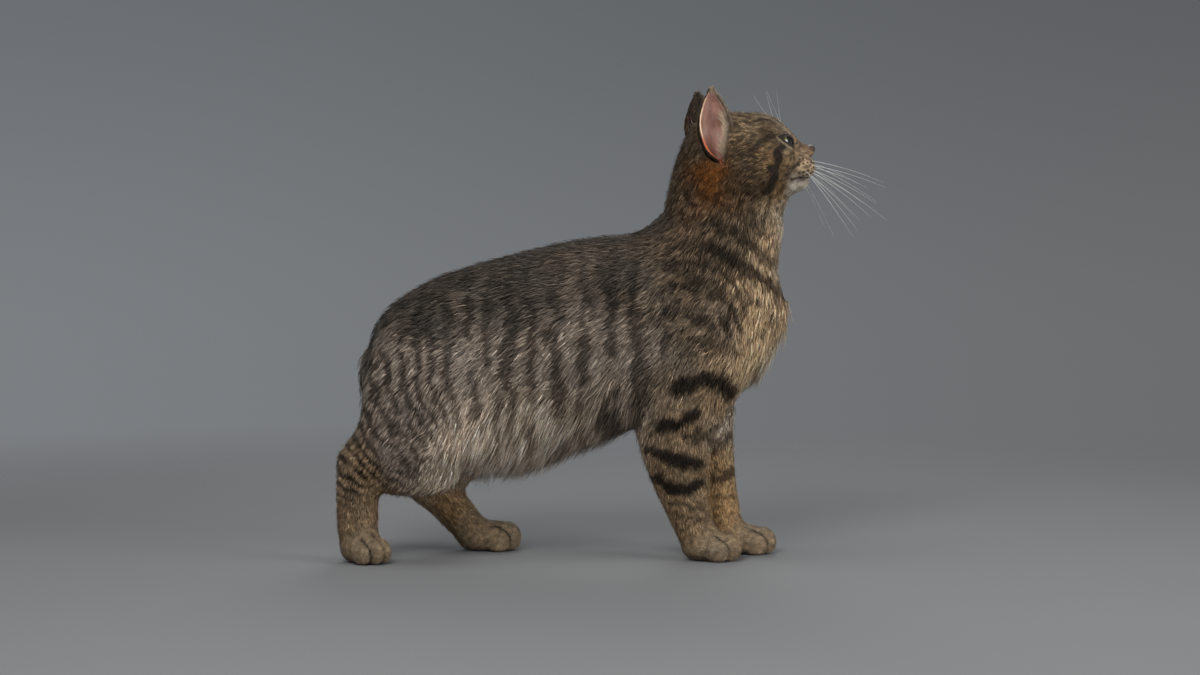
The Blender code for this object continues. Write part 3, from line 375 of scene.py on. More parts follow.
def towards(colours, other, share):
    """The colours, drawn to another one by each point's share."""
    return colours + (np.asarray(other) - colours) * share[:, None]


def ripple(points, size, seed, waves=14):
    """Smooth noise: the sum of sine waves of about one length in seeded directions, about -1 to 1."""
    draw = np.random.default_rng(seed)
    ways = unit(draw.normal(size=(waves, 3))) * 2 * np.pi / (size * draw.uniform(0.7, 1.5, (waves, 1)))
    shift = draw.uniform(0, 2 * np.pi, waves)
    found = np.zeros(len(points))
    for way, start in zip(ways, shift):
        found += np.sin(points @ way + start)
    return found / math.sqrt(waves / 2)


def placed(points):
    """Design millimetres to metres of the frame."""
    return (np.asarray(points) + ORIGIN_SHIFT) * MM


def smooth_rows(rows, count):
    """A Catmull-Rom curve through the rows, count rows in all."""
    rows = np.array(rows, float)
    padded = np.vstack([2 * rows[0] - rows[1], rows, 2 * rows[-1] - rows[-2]])
    place = np.linspace(0, len(rows) - 1, count)
    step = np.minimum(place.astype(int), len(rows) - 2)
    t = (place - step)[:, None]
    before, start, end, after = (padded[step + k] for k in range(4))
    return 0.5 * (
        2 * start + (end - before) * t + (2 * before - 5 * start + 4 * end - after) * t**2
        + (3 * start - before - 3 * end + after) * t**3
    )


def even_rows(rows, count, columns=3):
    """The same rows, spaced evenly by the length along their first columns."""
    fine = smooth_rows(rows, count * 12)
    steps = np.linalg.norm(np.diff(fine[:, :columns], axis=0), axis=1)
    length = np.concatenate([[0], np.cumsum(steps)])
    place = np.linspace(0, length[-1], count)
    return np.column_stack([np.interp(place, length, column) for column in fine.T])


def turned(degrees):
    return np.array(Matrix.Rotation(math.radians(degrees), 3, "Z"))


def ellipsoid(centre, radii, pitch=0.0, yaw=0.0):
    """A lump of one ellipsoid: centres, radii and axes."""
    turn = Matrix.Rotation(math.radians(yaw), 3, "Z") @ Matrix.Rotation(math.radians(pitch), 3, "Y")
    return np.array([centre], float), np.array([radii], float), np.array(turn)[None]


def limb(stations, side, count=60):
    """A bent line with oval sections square to it; side is +1 for left, -1 for right."""
    rows = even_rows(stations, count)
    rows[:, 1] *= side
    along = unit(np.gradient(rows[:, :3], axis=0))
    across = unit(np.array((0.0, 1.0, 0.0)) - along * along[:, 1:2])
    radii = np.column_stack([0.6 * rows[:, 3:5].min(axis=1), rows[:, 3], rows[:, 4]])
    return rows[:, :3], radii, np.stack([along, np.cross(across, along), across], axis=2)


def trunk(count=70):
    """The same from the rump to the chest, with upright sections."""
    x, top, bottom, wide = even_rows(TORSO, count, columns=1).T
    centres = np.column_stack([x, np.zeros(count), (top + bottom) / 2])
    radii = np.column_stack([np.full(count, 8.0), (top - bottom) / 2, wide])
    axes = np.array(((1.0, 0, 0), (0, 0, 1.0), (0, 1.0, 0))).T
    return centres, radii, np.repeat(axes[None], count, axis=0)


def distance(points, lump):
    """About how far each point lies outside the lump: g (g - 1) / |slope|, for the point's size g
    in units of the section's radii; below 0 inside, and FAR where nowhere near."""
    centres, radii, axes = lump
    found = np.full(len(points), FAR)
    reach = radii.max() + FAR / 2
    low, high = centres.min(axis=0) - reach, centres.max(axis=0) + reach
    near = np.flatnonzero(((points > low) & (points < high)).all(axis=1))
    if not len(near):
        return found
    spot = points[near]
    if len(centres) == 1:
        local, size = (spot - centres[0]) @ axes[0], radii[0]
    else:
        local, size, _ = along_chain(spot, centres, radii, axes)
    grown = np.linalg.norm(local / size, axis=1)
    slope = np.maximum(np.linalg.norm(local / size**2, axis=1), 1e-9)
    found[near] = grown * (grown - 1) / slope
    return found


def along_chain(spot, centres, radii, axes):
    """Each point's place in the section that it lies in, that section's radii, and how far along."""
    upright = np.ptp(axes[:, :, 0], axis=0).max() == 0
    section = np.zeros(len(spot), int)
    shortest = np.full(len(spot), np.inf)
    for k, centre in enumerate(centres):
        offset = spot[:, :1] - centre[:1] if upright else spot - centre
        square = (offset**2).sum(axis=1)
        closer = square < shortest
        section[closer], shortest[closer] = k, square[closer]
    lead = ((spot - centres[section]) * axes[section, :, 0]).sum(axis=1)
    step = np.linalg.norm(np.diff(centres[:, :1] if upright else centres, axis=0), axis=1).mean()
    place = section + lead / step
    low = np.clip(place.astype(int), 0, len(centres) - 2)
    share = np.clip(place - low, 0, 1)[:, None]
    middle = centres[low] * (1 - share) + centres[low + 1] * share
    size = radii[low] * (1 - share) + radii[low + 1] * share
    local = np.matmul((spot - middle)[:, None, :], axes[section])[:, 0]
    local[(place > 0) & (place < len(centres) - 1), 0] = 0
    return local, size, place / (len(centres) - 1)


def flow(one, other, blend):
    """The smaller of two distances, rounded off where they are less than blend apart."""
    close = np.clip(blend - np.abs(one - other), 0, None) / blend
    return np.minimum(one, other) - close**2 * blend / 4


def flow_all(points, lumps, blend):
    found = distance(points, lumps[0])
    for lump in lumps[1:]:
        found = flow(found, distance(points, lump), blend)
    return found


def on_head(point, side=1):
    """A point of the head, mirrored for the right side, after the head's turn."""
    mirrored = np.array((point[0], side * point[1], point[2]), float)
    return turned(HEAD_YAW) @ (mirrored - HEAD_PIVOT) + HEAD_PIVOT


def head_turned(points):
    """Points of the straight head, after its turn."""
    return (points - HEAD_PIVOT) @ turned(HEAD_YAW).T + HEAD_PIVOT


def head_straight(points, side=1):
    """Points of the head with its turn taken out, the right side's mirrored to the left."""
    return ((points - HEAD_PIVOT) @ turned(HEAD_YAW) + HEAD_PIVOT) * (1, side, 1)


def unturned(points):
    """The points with the head's turn taken out, fading to none down the neck."""
    angle = -np.radians(HEAD_YAW) * smoothstep(240, 295, points[:, 2])
    x, y = points[:, 0] - HEAD_PIVOT[0], points[:, 1]
    cos, sin = np.cos(angle), np.sin(angle)
    return np.column_stack([x * cos - y * sin + HEAD_PIVOT[0], x * sin + y * cos, points[:, 2]])


def head_lumps(middle, sides):
    lumps = [ellipsoid(on_head(centre), radii, pitch, HEAD_YAW) for centre, radii, pitch in middle]
    lumps += [
        ellipsoid(on_head(centre, side), radii, pitch, HEAD_YAW)
        for centre, radii, pitch in sides
        for side in SIDES
    ]
    return lumps


def paw_lumps(heel, toe_out, scale):
    """Palm, knuckles and four toes."""
    side = 1 if heel[1] > 0 else -1
    lumps = []
    for centre, radii in (PALM, KNUCKLES, *TOES):
        local = turned(side * toe_out) @ (np.array((centre[0], side * centre[1], 0.0)) * scale)
        middle = (heel[0] + local[0], heel[1] + local[1], centre[2] * scale - SOLE_FLAT)
        lumps.append(ellipsoid(middle, [r * scale for r in radii], 0.0, side * toe_out))
    return lumps


def flesh_lumps():
    """All lumps of the cat, by the part whose blend they share."""
    reach = EYE_RADIUS + LID_THICK
    return {
        "trunk": [trunk()],
        "neck": [limb(NECK, 1)],
        "foreleg_left": [limb(FORELEG_LEFT, 1)],
        "foreleg_right": [limb(FORELEG_RIGHT, -1)],
        "hindleg_left": [limb(rows, 1) for rows in (THIGH_LEFT, SHANK_LEFT, METATARSUS_LEFT)],
        "hindleg_right": [limb(rows, -1) for rows in (THIGH_RIGHT, SHANK_RIGHT, METATARSUS_RIGHT)],
        "head": head_lumps(HEAD_MIDDLE_LUMPS, HEAD_SIDE_LUMPS),
        "muzzle": head_lumps(MUZZLE_MIDDLE_LUMPS, MUZZLE_SIDE_LUMPS),
        "lids": [ellipsoid(on_head(EYE_CENTRE, side), (reach,) * 3) for side in SIDES],
        "paws": [paw_lumps(*paw) for paw in PAWS],
    }


def flesh_field(points, lumps):
    """Distance to the blended flesh, out to the top of the coat."""
    found = distance(points, lumps["trunk"][0])
    for side in ("left", "right"):
        found = flow(found, flow_all(points, lumps[f"hindleg_{side}"], LEG_BLEND), BODY_BLEND)
        found = flow(found, distance(points, lumps[f"foreleg_{side}"][0]), SHOULDER_BLEND)
    found = flow(found, distance(points, lumps["neck"][0]), BODY_BLEND)
    head = flow_all(points, lumps["head"], HEAD_BLEND)
    head = flow(head, flow_all(points, lumps["muzzle"], MUZZLE_BLEND), HEAD_BLEND)
    for lid in lumps["lids"]:
        head = flow(head, distance(points, lid), LID_BLEND)
    found = flow(found, head, NECK_BLEND)
    for paw in lumps["paws"]:
        found = flow(found, flow_all(points, paw, TOE_BLEND), ANKLE_BLEND)
    return found


def guided(points):
    """Lie, depth, length and the two pelt colours at each point: the mean of the guides on its
    side, each weighed by 1 / (d^2 + 36)^2 for its distance d."""
    straight = unturned(points)
    side = np.where(straight[:, 1] >= 0, 1.0, -1.0)
    spot = np.column_stack([straight[:, 0], np.abs(straight[:, 1]), straight[:, 2]])
    found = np.zeros((len(points), 11))
    for here, guides in ((side > 0, GUIDES + GUIDES_LEFT), (side < 0, GUIDES + GUIDES_RIGHT)):
        total = np.zeros(here.sum())
        sums = np.zeros((here.sum(), 11))
        for place, lie, depth, length, pelt in guides:
            weight = 1 / (((spot[here] - place) ** 2).sum(axis=1) + 36.0) ** 2
            row = np.concatenate([unit(np.array(lie)), (depth, length), *PELT[pelt]])
            sums += weight[:, None] * row
            total += weight
        found[here] = sums / total[:, None]
    found[:, 1] *= side
    return found[:, :3], found[:, 3], found[:, 4], found[:, 5:8], found[:, 8:11]


def to_polyline(flat, stroke):
    """Distance of points in a plane from a bent line."""
    line = smooth_rows(stroke, 14) if len(stroke) > 2 else np.array(stroke, float)
    shortest = np.full(len(flat), np.inf)
    for start, end in zip(line[:-1], line[1:]):
        along = end - start
        share = np.clip(((flat - start) @ along) / (along @ along), 0, 1)[:, None]
        shortest = np.minimum(shortest, np.linalg.norm(flat - start - share * along, axis=1))
    return shortest


def stripe_share(points):
    """How dark the tabby markings are, 0 to 1: the darkest of the flank's stripes, the shoulder's
    arcs, mottling, flecks, the hind bars, the crown's streaks and the strokes, at each point."""
    straight = unturned(points)
    x, y, z = straight.T
    side = np.where(y >= 0, 1.0, -1.0)
    wander = ripple(points, 40.0, 3) * 2.6 + ripple(points, 15.0, 4) * 1.1
    low = np.clip(168 - z, 0, None)
    bend = (0.0042 * low**2 + 1.6e-5 * low**3) * smoothstep(-40, -105, x)
    # Flank: a sine of the length along the body, bent and spaced wider to the front, broken by noise
    length = x - bend + wander + side * 4.0
    stations = np.linspace(-330, 120, 200)
    spacing = 12.5 + 7.5 * smoothstep(-115, -30, stations)
    phase = np.interp(length, stations, np.cumsum((stations[1] - stations[0]) / spacing))
    wave = np.sin(2 * np.pi * phase)
    broken = smoothstep(-1.5, -0.3, ripple(points * (1.0, 1.0, 0.45), 22.0, 5))
    flank = smoothstep(-0.35, 0.45, wave) * broken * smoothstep(72, 48, x)
    flank *= smoothstep(60, 92, z + 0.25 * np.abs(x + 60)) * 0.95
    found = flank * (1 - 0.55 * smoothstep(205, 240, z))
    # Shoulder: a sine of the distance from the elbow, 14 mm from arc to arc
    reach = np.hypot(x - 84, (z - 160) / 1.25) + wander * 0.7
    arcs = smoothstep(-0.1, 0.7, np.sin(2 * np.pi * reach / 14.0)) * broken
    arcs *= smoothstep(56, 68, x) * smoothstep(150, 125, x)
    arcs *= smoothstep(150, 170, z) * smoothstep(272, 240, z)
    found = np.maximum(found, 0.9 * arcs)
    # Mottling of the whole coat, and finer flecks on the head
    mottle = 0.3 + 0.5 * smoothstep(50, 75, x) * smoothstep(160, 185, z)
    mottle *= 1 - 0.45 * smoothstep(285, 310, z)
    found = np.maximum(found, mottle * smoothstep(0.0, 0.9, ripple(points, 8.0, 6)))
    fleck = smoothstep(0.0, 0.9, ripple(points * (0.5, 1.0, 1.0), 4.0, 14)) * smoothstep(285, 305, z)
    found = np.maximum(found, 0.7 * fleck)
    # Bars across the hind feet
    hind = smoothstep(0.1, 0.8, np.sin(2 * np.pi * (z + 0.45 * x + wander * 0.4) / 9.5))
    hind *= smoothstep(68, 52, z) * smoothstep(18, 30, z) * smoothstep(-60, -80, x)
    found = np.maximum(found, 0.42 * hind * broken)
    # Streaks along the crown, 7.6 mm apart
    crown = smoothstep(0.1, 0.9, np.cos(2 * np.pi * (y + 0.8 * ripple(points, 20.0, 8)) / 7.6) + 0.1)
    crown *= smoothstep(335, 350, z) * smoothstep(172, 160, x) * smoothstep(96, 110, x)
    crown *= smoothstep(-1.3, 0.2, ripple(points * (0.45, 1.0, 0.6), 10.0, 9))
    found = np.maximum(found, 0.92 * crown)
    # Strokes: bands about bent lines in the side view
    waver = np.column_stack([ripple(points, 11.0, 10), ripple(points, 11.0, 11)])
    flat = np.column_stack([x, z]) + 1.1 * waver
    for stroke, half, strength, least, only in STROKES:
        low, high = np.min(stroke, axis=0) - half * 2, np.max(stroke, axis=0) + half * 2
        near = ((flat > low) & (flat < high)).all(axis=1) & (np.abs(y) >= least)
        near = np.flatnonzero(near & (side == only) if only else near)
        spread = smoothstep(half * 1.5, half * 0.45, to_polyline(flat[near], stroke)) * strength
        found[near] = np.maximum(found[near], spread)
    return found


def toe_gap_shade(points, lumps):
    """Painted shade where two toes meet: where the two smallest distances to a paw's toes are nearly
    the same.
    """
    found = np.zeros(len(points))
    low = np.flatnonzero(points[:, 2] < 24)
    for paw in lumps["paws"]:
        spot = points[low]
        apart = np.sort([distance(spot, toe) for toe in paw[2:]], axis=0)
        here = smoothstep(2.3, 0.5, apart[1] - apart[0]) * smoothstep(5.0, 2.5, apart[0])
        found[low] = np.maximum(found[low], here)
    return found


def markings(points, pelt, stripe, lumps, lines):
    """The coat's colour at each point, from the pelt beside and in the stripes, with a slight
    orange and grey cast, painted shade in the gaps of the toes, the whisker spots, and the pale
    rings of the eyes inside their dark liner."""
    share = stripe_share(points)[:, None]
    colour = pelt * (1 - share) + stripe * share
    cast = ripple(points, 30.0, 12)[:, None] * 0.014
    colour = colour * (1 + cast * np.array((1.0, 0.2, -0.8)))
    colour *= np.exp(0.16 * ripple(points, 5.0, 13)[:, None])
    # Painted shade: darkens the creases between the toes
    colour *= 1 - 0.9 * toe_gap_shade(points, lumps)[:, None]
    face = np.flatnonzero(in_face(points))
    spot, tint = points[face], colour[face]
    apart = np.linalg.norm(unturned(spot) - NOSE_CENTRE, axis=1)
    tint = towards(tint, NOSE_SURROUND, 0.65 * smoothstep(12.0, 7.0, apart))
    tint *= 1 - 0.88 * smoothstep(1.5, 0.6, nearest(spot, lines["pads"]))[:, None]
    tint = towards(tint, LIP_LINE, smoothstep(1.9, 0.7, nearest(spot, lines["lips"][::3])))
    for side in SIDES:
        apart = nearest(spot, lid_edge(side, 40, 1.0, 1.5))
        centre, _, _, upward = eye_frame(side)
        below = 0.06 + 0.4 * smoothstep(1.5, -2.5, (spot - centre) @ upward)
        tint = towards(tint, EYE_RING, smoothstep(3.4, 2.0, apart) * below)
        tint = towards(tint, EYE_LINER, smoothstep(1.9, 0.9, apart))
    colour[face] = tint
    return np.clip(colour, 0.008, 0.95)


def set_points(mesh, points):
    mesh.vertices.foreach_set("co", placed(points).astype(np.float32).ravel())
    mesh.update()


def read_rows(rows, value, kind=np.float32):
    """The rows of three numbers that a mesh keeps under a name."""
    found = np.empty(len(rows) * 3, kind)
    rows.foreach_get(value, found)
    return found.reshape(-1, 3)


def points_of(obj):
    """The object's points, back in design millimetres."""
    return read_rows(obj.data.vertices, "co").astype(float) / MM - ORIGIN_SHIFT


def normals_of(obj):
    return read_rows(obj.data.vertex_normals, "vector").astype(float)


def add_piece(name, points, faces):
    """A piece of the cat from design points, and faces that are rows of three or four corners."""
    mesh = bpy.data.meshes.new(name)
    corners = np.asarray(faces, np.int32)
    mesh.vertices.add(len(points))
    set_points(mesh, points)
    mesh.loops.add(corners.size)
    mesh.loops.foreach_set("vertex_index", corners.ravel())
    mesh.polygons.add(len(corners))
    mesh.polygons.foreach_set("loop_start", np.arange(0, corners.size, corners.shape[1], dtype=np.int32))
    mesh.update(calc_edges=True)
    mesh.validate()
    mesh.shade_smooth()
    obj = bpy.data.objects.new(name, mesh)
    bpy.context.scene.collection.objects.link(obj)
    return obj


def give_colour(obj, colours, name="markings"):
    """Colours of the points, kept as an attribute."""
    made = obj.data.attributes.new(name, "FLOAT_COLOR", "POINT")
    rows = np.column_stack([colours, np.ones(len(colours))])
    made.data.foreach_set("color", rows.astype(np.float32).ravel())


def face_out(obj):
    bm = bmesh.new()
    bm.from_mesh(obj.data)
    bmesh.ops.remove_doubles(bm, verts=bm.verts, dist=1e-6)
    bmesh.ops.recalc_face_normals(bm, faces=bm.faces)
    bm.to_mesh(obj.data)
    bm.free()
    return obj


def baked(obj):
    bpy.context.view_layer.update()
    graph = bpy.context.evaluated_depsgraph_get()
    mesh = bpy.data.meshes.new_from_object(obj.evaluated_get(graph))
    obj.modifiers.clear()
    obj.data = mesh
    return obj


def remesh(obj, voxel):
    made = obj.modifiers.new("fuse", "REMESH")
    made.mode = "VOXEL"
    made.voxel_size = voxel * MM
    return baked(obj)


def grid_faces(rows, columns, wrap=False):
    """Quads of a grid of rows by columns points, closed round its columns if wrap is set."""
    low = np.arange(rows - 1)[:, None] * columns
    k = np.arange(columns if wrap else columns - 1)[None]
    n = (k + 1) % columns
    return np.stack([low + k, low + n, low + columns + n, low + columns + k], axis=2).reshape(-1, 4)


def closed_faces(rings, sides):
    """Triangles of rings of points, closed by two more points: one before the first ring and one
    after the last."""
    quads = grid_faces(rings, sides, wrap=True)
    k = np.arange(sides)
    n, last, size = (k + 1) % sides, (rings - 1) * sides, rings * sides
    return np.vstack([
        quads[:, (0, 1, 2)], quads[:, (0, 2, 3)],
        np.column_stack([n, k, np.full(sides, size)]),
        np.column_stack([last + k, last + n, np.full(sides, size + 1)]),
    ])


def rough_lumps(lumps, rings=9, sides=16):
    """Closed spheres u, v -> (cos u cos v, sin u cos v, sin v), stretched to every lump."""
    v, u = np.meshgrid(np.linspace(-1, 1, rings) * 0.48 * np.pi, around(sides), indexing="ij")
    ball = np.stack([np.cos(u) * np.cos(v), np.sin(u) * np.cos(v), np.sin(v)], axis=2).reshape(-1, 3)
    ball = np.vstack([ball, (0, 0, -1), (0, 0, 1)])
    faces = closed_faces(rings, sides)
    centres, spans, turns = [], [], []
    for lump in lumps:
        step = 3 if len(lump[0]) > 1 else 1
        radii = lump[1][::step]
        if step > 1:
            radii = np.maximum(radii, 0.35 * radii.max(axis=1, keepdims=True))
        centres.append(lump[0][::step])
        spans.append(radii * 0.97)
        turns.append(lump[2][::step])
    centres, spans, turns = np.vstack(centres), np.vstack(spans), np.vstack(turns)
    points = centres[:, None] + np.einsum("nij,nkj->nki", turns, ball[None] * spans[:, None])
    corners = faces[None] + (np.arange(len(centres)) * len(ball))[:, None, None]
    return points.reshape(-1, 3), corners.reshape(-1, 3)


def settle(obj, lumps, rounds):
    """Draws the skin along its normals to the flesh, less the coat's depth."""
    for _ in range(rounds):
        points, normals = points_of(obj), normals_of(obj)
        depth = guided(points)[1]
        gap = flesh_field(points, lumps) + depth
        slope = (flesh_field(points + PROBE * normals, lumps) + depth - gap) / PROBE
        step = np.clip(gap / np.clip(slope, 0.7, 8), -4, 4)
        points -= step[:, None] * normals
        points[:, 2] = np.maximum(points[:, 2], SKIN_LEVEL)
        set_points(obj.data, points)


def finer(obj, chosen):
    """Splits the faces whose corners are all chosen into four."""
    bm = bmesh.new()
    bm.from_mesh(obj.data)
    edges = [edge for edge in bm.edges if chosen[edge.verts[0].index] and chosen[edge.verts[1].index]]
    bmesh.ops.subdivide_edges(bm, edges=edges, cuts=1, use_grid_fill=True)
    bm.to_mesh(obj.data)
    bm.free()


def in_face(points):
    """The front of the head, where the eyes, nose and mouth are."""
    straight = unturned(points)
    return (straight[:, 0] > FACE_FROM_X) & (straight[:, 2] > FACE_FROM_Z)


def in_head(points):
    """The head down to the jaw."""
    straight = unturned(points)
    return (straight[:, 0] > HEAD_FROM_X) & (straight[:, 2] > HEAD_FROM_Z)


def on_skin(rows, lumps, side, inset=0.0):
    """The places on the flesh nearest to points of the unturned head, and its slopes there."""
    spot = head_turned(np.array(rows, float) * (1, side, 1))
    for _ in range(5):
        rise = [flesh_field(spot + s, lumps) - flesh_field(spot - s, lumps) for s in np.eye(3) * 0.2]
        slope = unit(np.stack(rise, axis=1))
        spot = spot - (flesh_field(spot, lumps) + inset)[:, None] * slope
    return spot, slope


def eye_frame(side):
    """The middle of the eye, the way it looks, the way of its slit, and upwards in its face."""
    turn, rise = math.radians(EYE_TURN), math.radians(EYE_RISE)
    look = np.array((math.cos(turn) * math.cos(rise), math.sin(turn) * math.cos(rise), math.sin(rise)))
    inward = np.array((math.sin(turn), -math.cos(turn), 0.0))
    slope = math.radians(SLIT_SLOPE)
    upward = np.cross(inward, look)
    slit = inward * math.cos(slope) - upward * math.sin(slope)
    upward = upward * math.cos(slope) + inward * math.sin(slope)
    origin = on_head((0, 0, 0), side)
    return on_head(EYE_CENTRE, side), *(on_head(axis, side) - origin for axis in (look, slit, upward))


def almond(count):
    """The slit's outline: s along it, and plus or minus half its height times (1 - s^2)^0.8."""
    turn = around(count)
    s = np.cos(turn)
    up = np.sign(np.sin(turn)) * np.clip(1 - s * s, 0, 1) ** 0.8
    return s * SLIT_LENGTH / 2, up * SLIT_HEIGHT / 2


def lid_cutter(side, count=36):
    """A prism with the almond outline, widening outwards."""
    centre, look, slit, upward = eye_frame(side)
    along, up = almond(count)
    rings = [
        centre + look * depth + (slit * along[:, None] + upward * up[:, None]) * spread
        for depth, spread in ((4.0, 0.78), (9.0, 0.88), (20.0, 1.15))
    ]
    points = np.vstack([*rings, centre + look * 4.0, centre + look * 20.0])
    return face_out(add_piece("cutter", points, closed_faces(3, count)))


def ball_cutter(centre, radius):
    points, faces = rough_lumps([ellipsoid(centre, (radius / 0.97,) * 3)])
    obj = face_out(add_piece("cutter", points, faces))
    made = obj.modifiers.new("round", "SUBSURF")
    made.levels = made.render_levels = 2
    return baked(obj)


def ear_frame():
    """The way that the ear's bowl faces, and the way across it."""
    faces = unit(np.array(EAR_FACES))
    return faces, unit(np.cross((0.0, 0.0, 1.0), faces))


def ear_table(count):
    """The ear's middle line, half width and wrap, in count rows from notch to tip."""
    return smooth_rows([(*row, wrap) for row, wrap in zip(EAR, EAR_WRAP)], count)


def beside_ear(points, side, count):
    """The points with the head straight, their rows of the ear's table, and how far across and
    before its middle line they lie."""
    straight, table = head_straight(points, side), ear_table(count)
    row = table[np.clip(np.searchsorted(table[:, 2], straight[:, 2]), 1, count - 1)]
    faces, across = ear_frame()
    offset = straight - row[:, :3]
    return straight, row, offset @ across, offset @ faces


def ear_grid(rows, columns, grow, side, whole=False):
    """The ear's bowl: middle(v) + half width(v) (across sin u - facing cos u * depth), for v from
    notch to tip and u round its back; whole is the closed bowl with the space before it."""
    table = ear_table(rows)
    faces, across = ear_frame()
    if whole:
        u = np.repeat(around(columns)[None], rows, axis=0)
    else:
        u = np.radians(table[:, 4:5] * np.linspace(-1, 1, columns)[None])
    back = -np.cos(u)
    back = np.where(back < 0, back * EAR_DEPTH, back * (1.6 if whole else 1.0))
    wide = np.maximum(table[:, 3:4] + grow * np.clip(table[:, 3:4] / 4, 0.4, 1), 0.4)
    way = across * np.sin(u)[..., None] + faces * back[..., None]
    local = table[:, None, :3] + wide[..., None] * way
    local[..., 1] *= side
    return head_turned(local.reshape(-1, 3))


def ear_cutter(side, rows=20, columns=28):
    """The closed bowl, with its two end rings filled in."""
    points = ear_grid(rows, columns, -0.1, side, whole=True)
    points = np.vstack([points, points[:columns].mean(axis=0), points[-columns:].mean(axis=0)])
    return face_out(add_piece("cutter", points, closed_faces(rows, columns)))


def cut(obj, cutters):
    for cutter in cutters:
        made = obj.modifiers.new("cut", "BOOLEAN")
        made.operation = "DIFFERENCE"
        made.solver = "MANIFOLD"
        made.object = cutter
        baked(obj)
        bpy.data.objects.remove(cutter, do_unlink=True)


def line_points(rows, lumps, side, count):
    return on_skin(smooth_rows(rows, count), lumps, side, 0.5)[0]


def press_lines(obj, lines, depth, half):
    """Presses the skin in along lines: depth exp(-(d / half)^2) for the distance d from a line."""
    points, normals = points_of(obj), normals_of(obj)
    near = np.flatnonzero(in_face(points))
    pressed = np.zeros(len(near))
    for line in lines:
        pressed = np.maximum(pressed, np.exp(-((nearest(points[near], line) / half) ** 2)))
    points[near] -= (depth * pressed)[:, None] * normals[near]
    set_points(obj.data, points)


def make_skin(lumps):
    """One skin under the coat: the lumps fused by a remesh, drawn onto the field and cut open at
    the eyes and ears."""
    chain = [lump for name in lumps for lump in lumps[name] if name != "paws"]
    chain += [lump for paw in lumps["paws"] for lump in paw]
    skin = add_piece("skin", *rough_lumps(chain))
    remesh(skin, ROUGH_VOXEL)
    settle(skin, lumps, 3)
    remesh(skin, FINE_VOXEL)
    settle(skin, lumps, 2)
    finer(skin, in_head(points_of(skin)))
    finer(skin, in_face(points_of(skin)))
    settle(skin, lumps, 2)
    cutters = []
    lines = [line_points(PHILTRUM, lumps, 1, 40)]
    for side in SIDES:
        ball = ball_cutter(on_head(EYE_CENTRE, side), EYE_RADIUS + 0.12)
        cutters += [ball, lid_cutter(side), ear_cutter(side)]
        lines.append(line_points(MOUTH, lumps, side, 60))
    press_lines(skin, lines, 1.3, 0.7)
    cut(skin, cutters)
    skin.data.shade_smooth()
    rows = [
        on_skin([(x, 14.0, z + 0.25 * (x - 176)) for x in np.linspace(176, 187.5, 5)], lumps, side, 0.3)[0]
        for side in SIDES
        for z in (316.5, 313.0, 309.5, 306.5)
    ]
    return skin, {"lips": np.vstack(lines), "pads": np.vstack(rows)}


def colour_skin(skin, lines, lumps):
    """Markings on the skin, a little darker than the coat, with painted shade that darkens it
    further where the coat over it is deep, and with dark pads.
    """
    points, normals = points_of(skin), normals_of(skin)
    _, depth, _, pelt, stripe = guided(points)
    # Painted shade: the skin darkens to half where the coat over it is deepest
    shade = 0.5 + 0.4 * smoothstep(3.0, 0.6, depth)
    colour = markings(points, pelt, stripe, lumps, lines) * shade[:, None]
    pad = smoothstep(-0.55, -0.8, normals[:, 2]) * smoothstep(5, 2.5, points[:, 2])
    give_colour(skin, towards(colour, SOLE_PAD, pad))


def sample_skin(skin, rate):
    """Roots spread over the skin, rate of them on each square millimetre: one draw for each
    triangle, of its expected number rounded up or down at random."""
    skin.data.calc_loop_triangles()
    corners = read_rows(skin.data.loop_triangles, "vertices", np.int32)
    points, normals = points_of(skin), normals_of(skin)
    a, b, c = (points[corners[:, k]] for k in range(3))
    area = np.linalg.norm(np.cross(b - a, c - a), axis=1) / 2
    count = np.floor(area * rate((a + b + c) / 3) + RANDOM.random(len(area))).astype(int)
    chosen = np.repeat(np.arange(len(area)), count)
    share = RANDOM.random((len(chosen), 2))
    over = share.sum(axis=1) > 1
    share[over] = 1 - share[over]
    weights = np.column_stack([1 - share.sum(axis=1), share])
    roots = np.einsum("nk,nkj->nj", weights, points[corners[chosen]])
    ups = unit(np.einsum("nk,nkj->nj", weights, normals[corners[chosen]]))
    return roots, ups


def bare(roots, ups, lines):
    """Where no tuft grows: inside the eyes, ears and nose, along the lips, and under the soles."""
    found = (roots[:, 2] < 3.0) & (ups[:, 2] < -0.5)
    for side in SIDES:
        centre, look, slit, upward = eye_frame(side)
        offset = roots - centre
        along = (offset @ slit) / (SLIT_LENGTH / 2 + 1.3)
        up = (offset @ upward) / (SLIT_HEIGHT / 2 + 1.3)
        front = offset @ look > 2
        found |= front & (np.abs(along) < 1) & (np.abs(up) < np.clip(1 - along**2, 0, 1) ** 0.8)
        found |= np.linalg.norm(offset, axis=1) < EYE_RADIUS + 0.5
        found |= in_ear(roots, side)
    nose = (unturned(roots) - NOSE_CENTRE + (0, 0, 0.8)) / (np.array(NOSE_RADII) + (2.5, -0.3, 0.2))
    found |= (np.linalg.norm(nose, axis=1) < 1)
    near = np.flatnonzero(in_face(roots))
    found[near[nearest(roots[near], lines["lips"][::3]) < 0.6]] = True
    return found


def in_ear(points, side):
    """Inside the bowl of the ear."""
    straight, row, right, front = beside_ear(points, side, 60)
    reach = np.hypot(right, front / 1.2)
    return (straight[:, 2] > EAR[0][2]) & (reach < row[:, 3]) & (straight[:, 1] > 12)


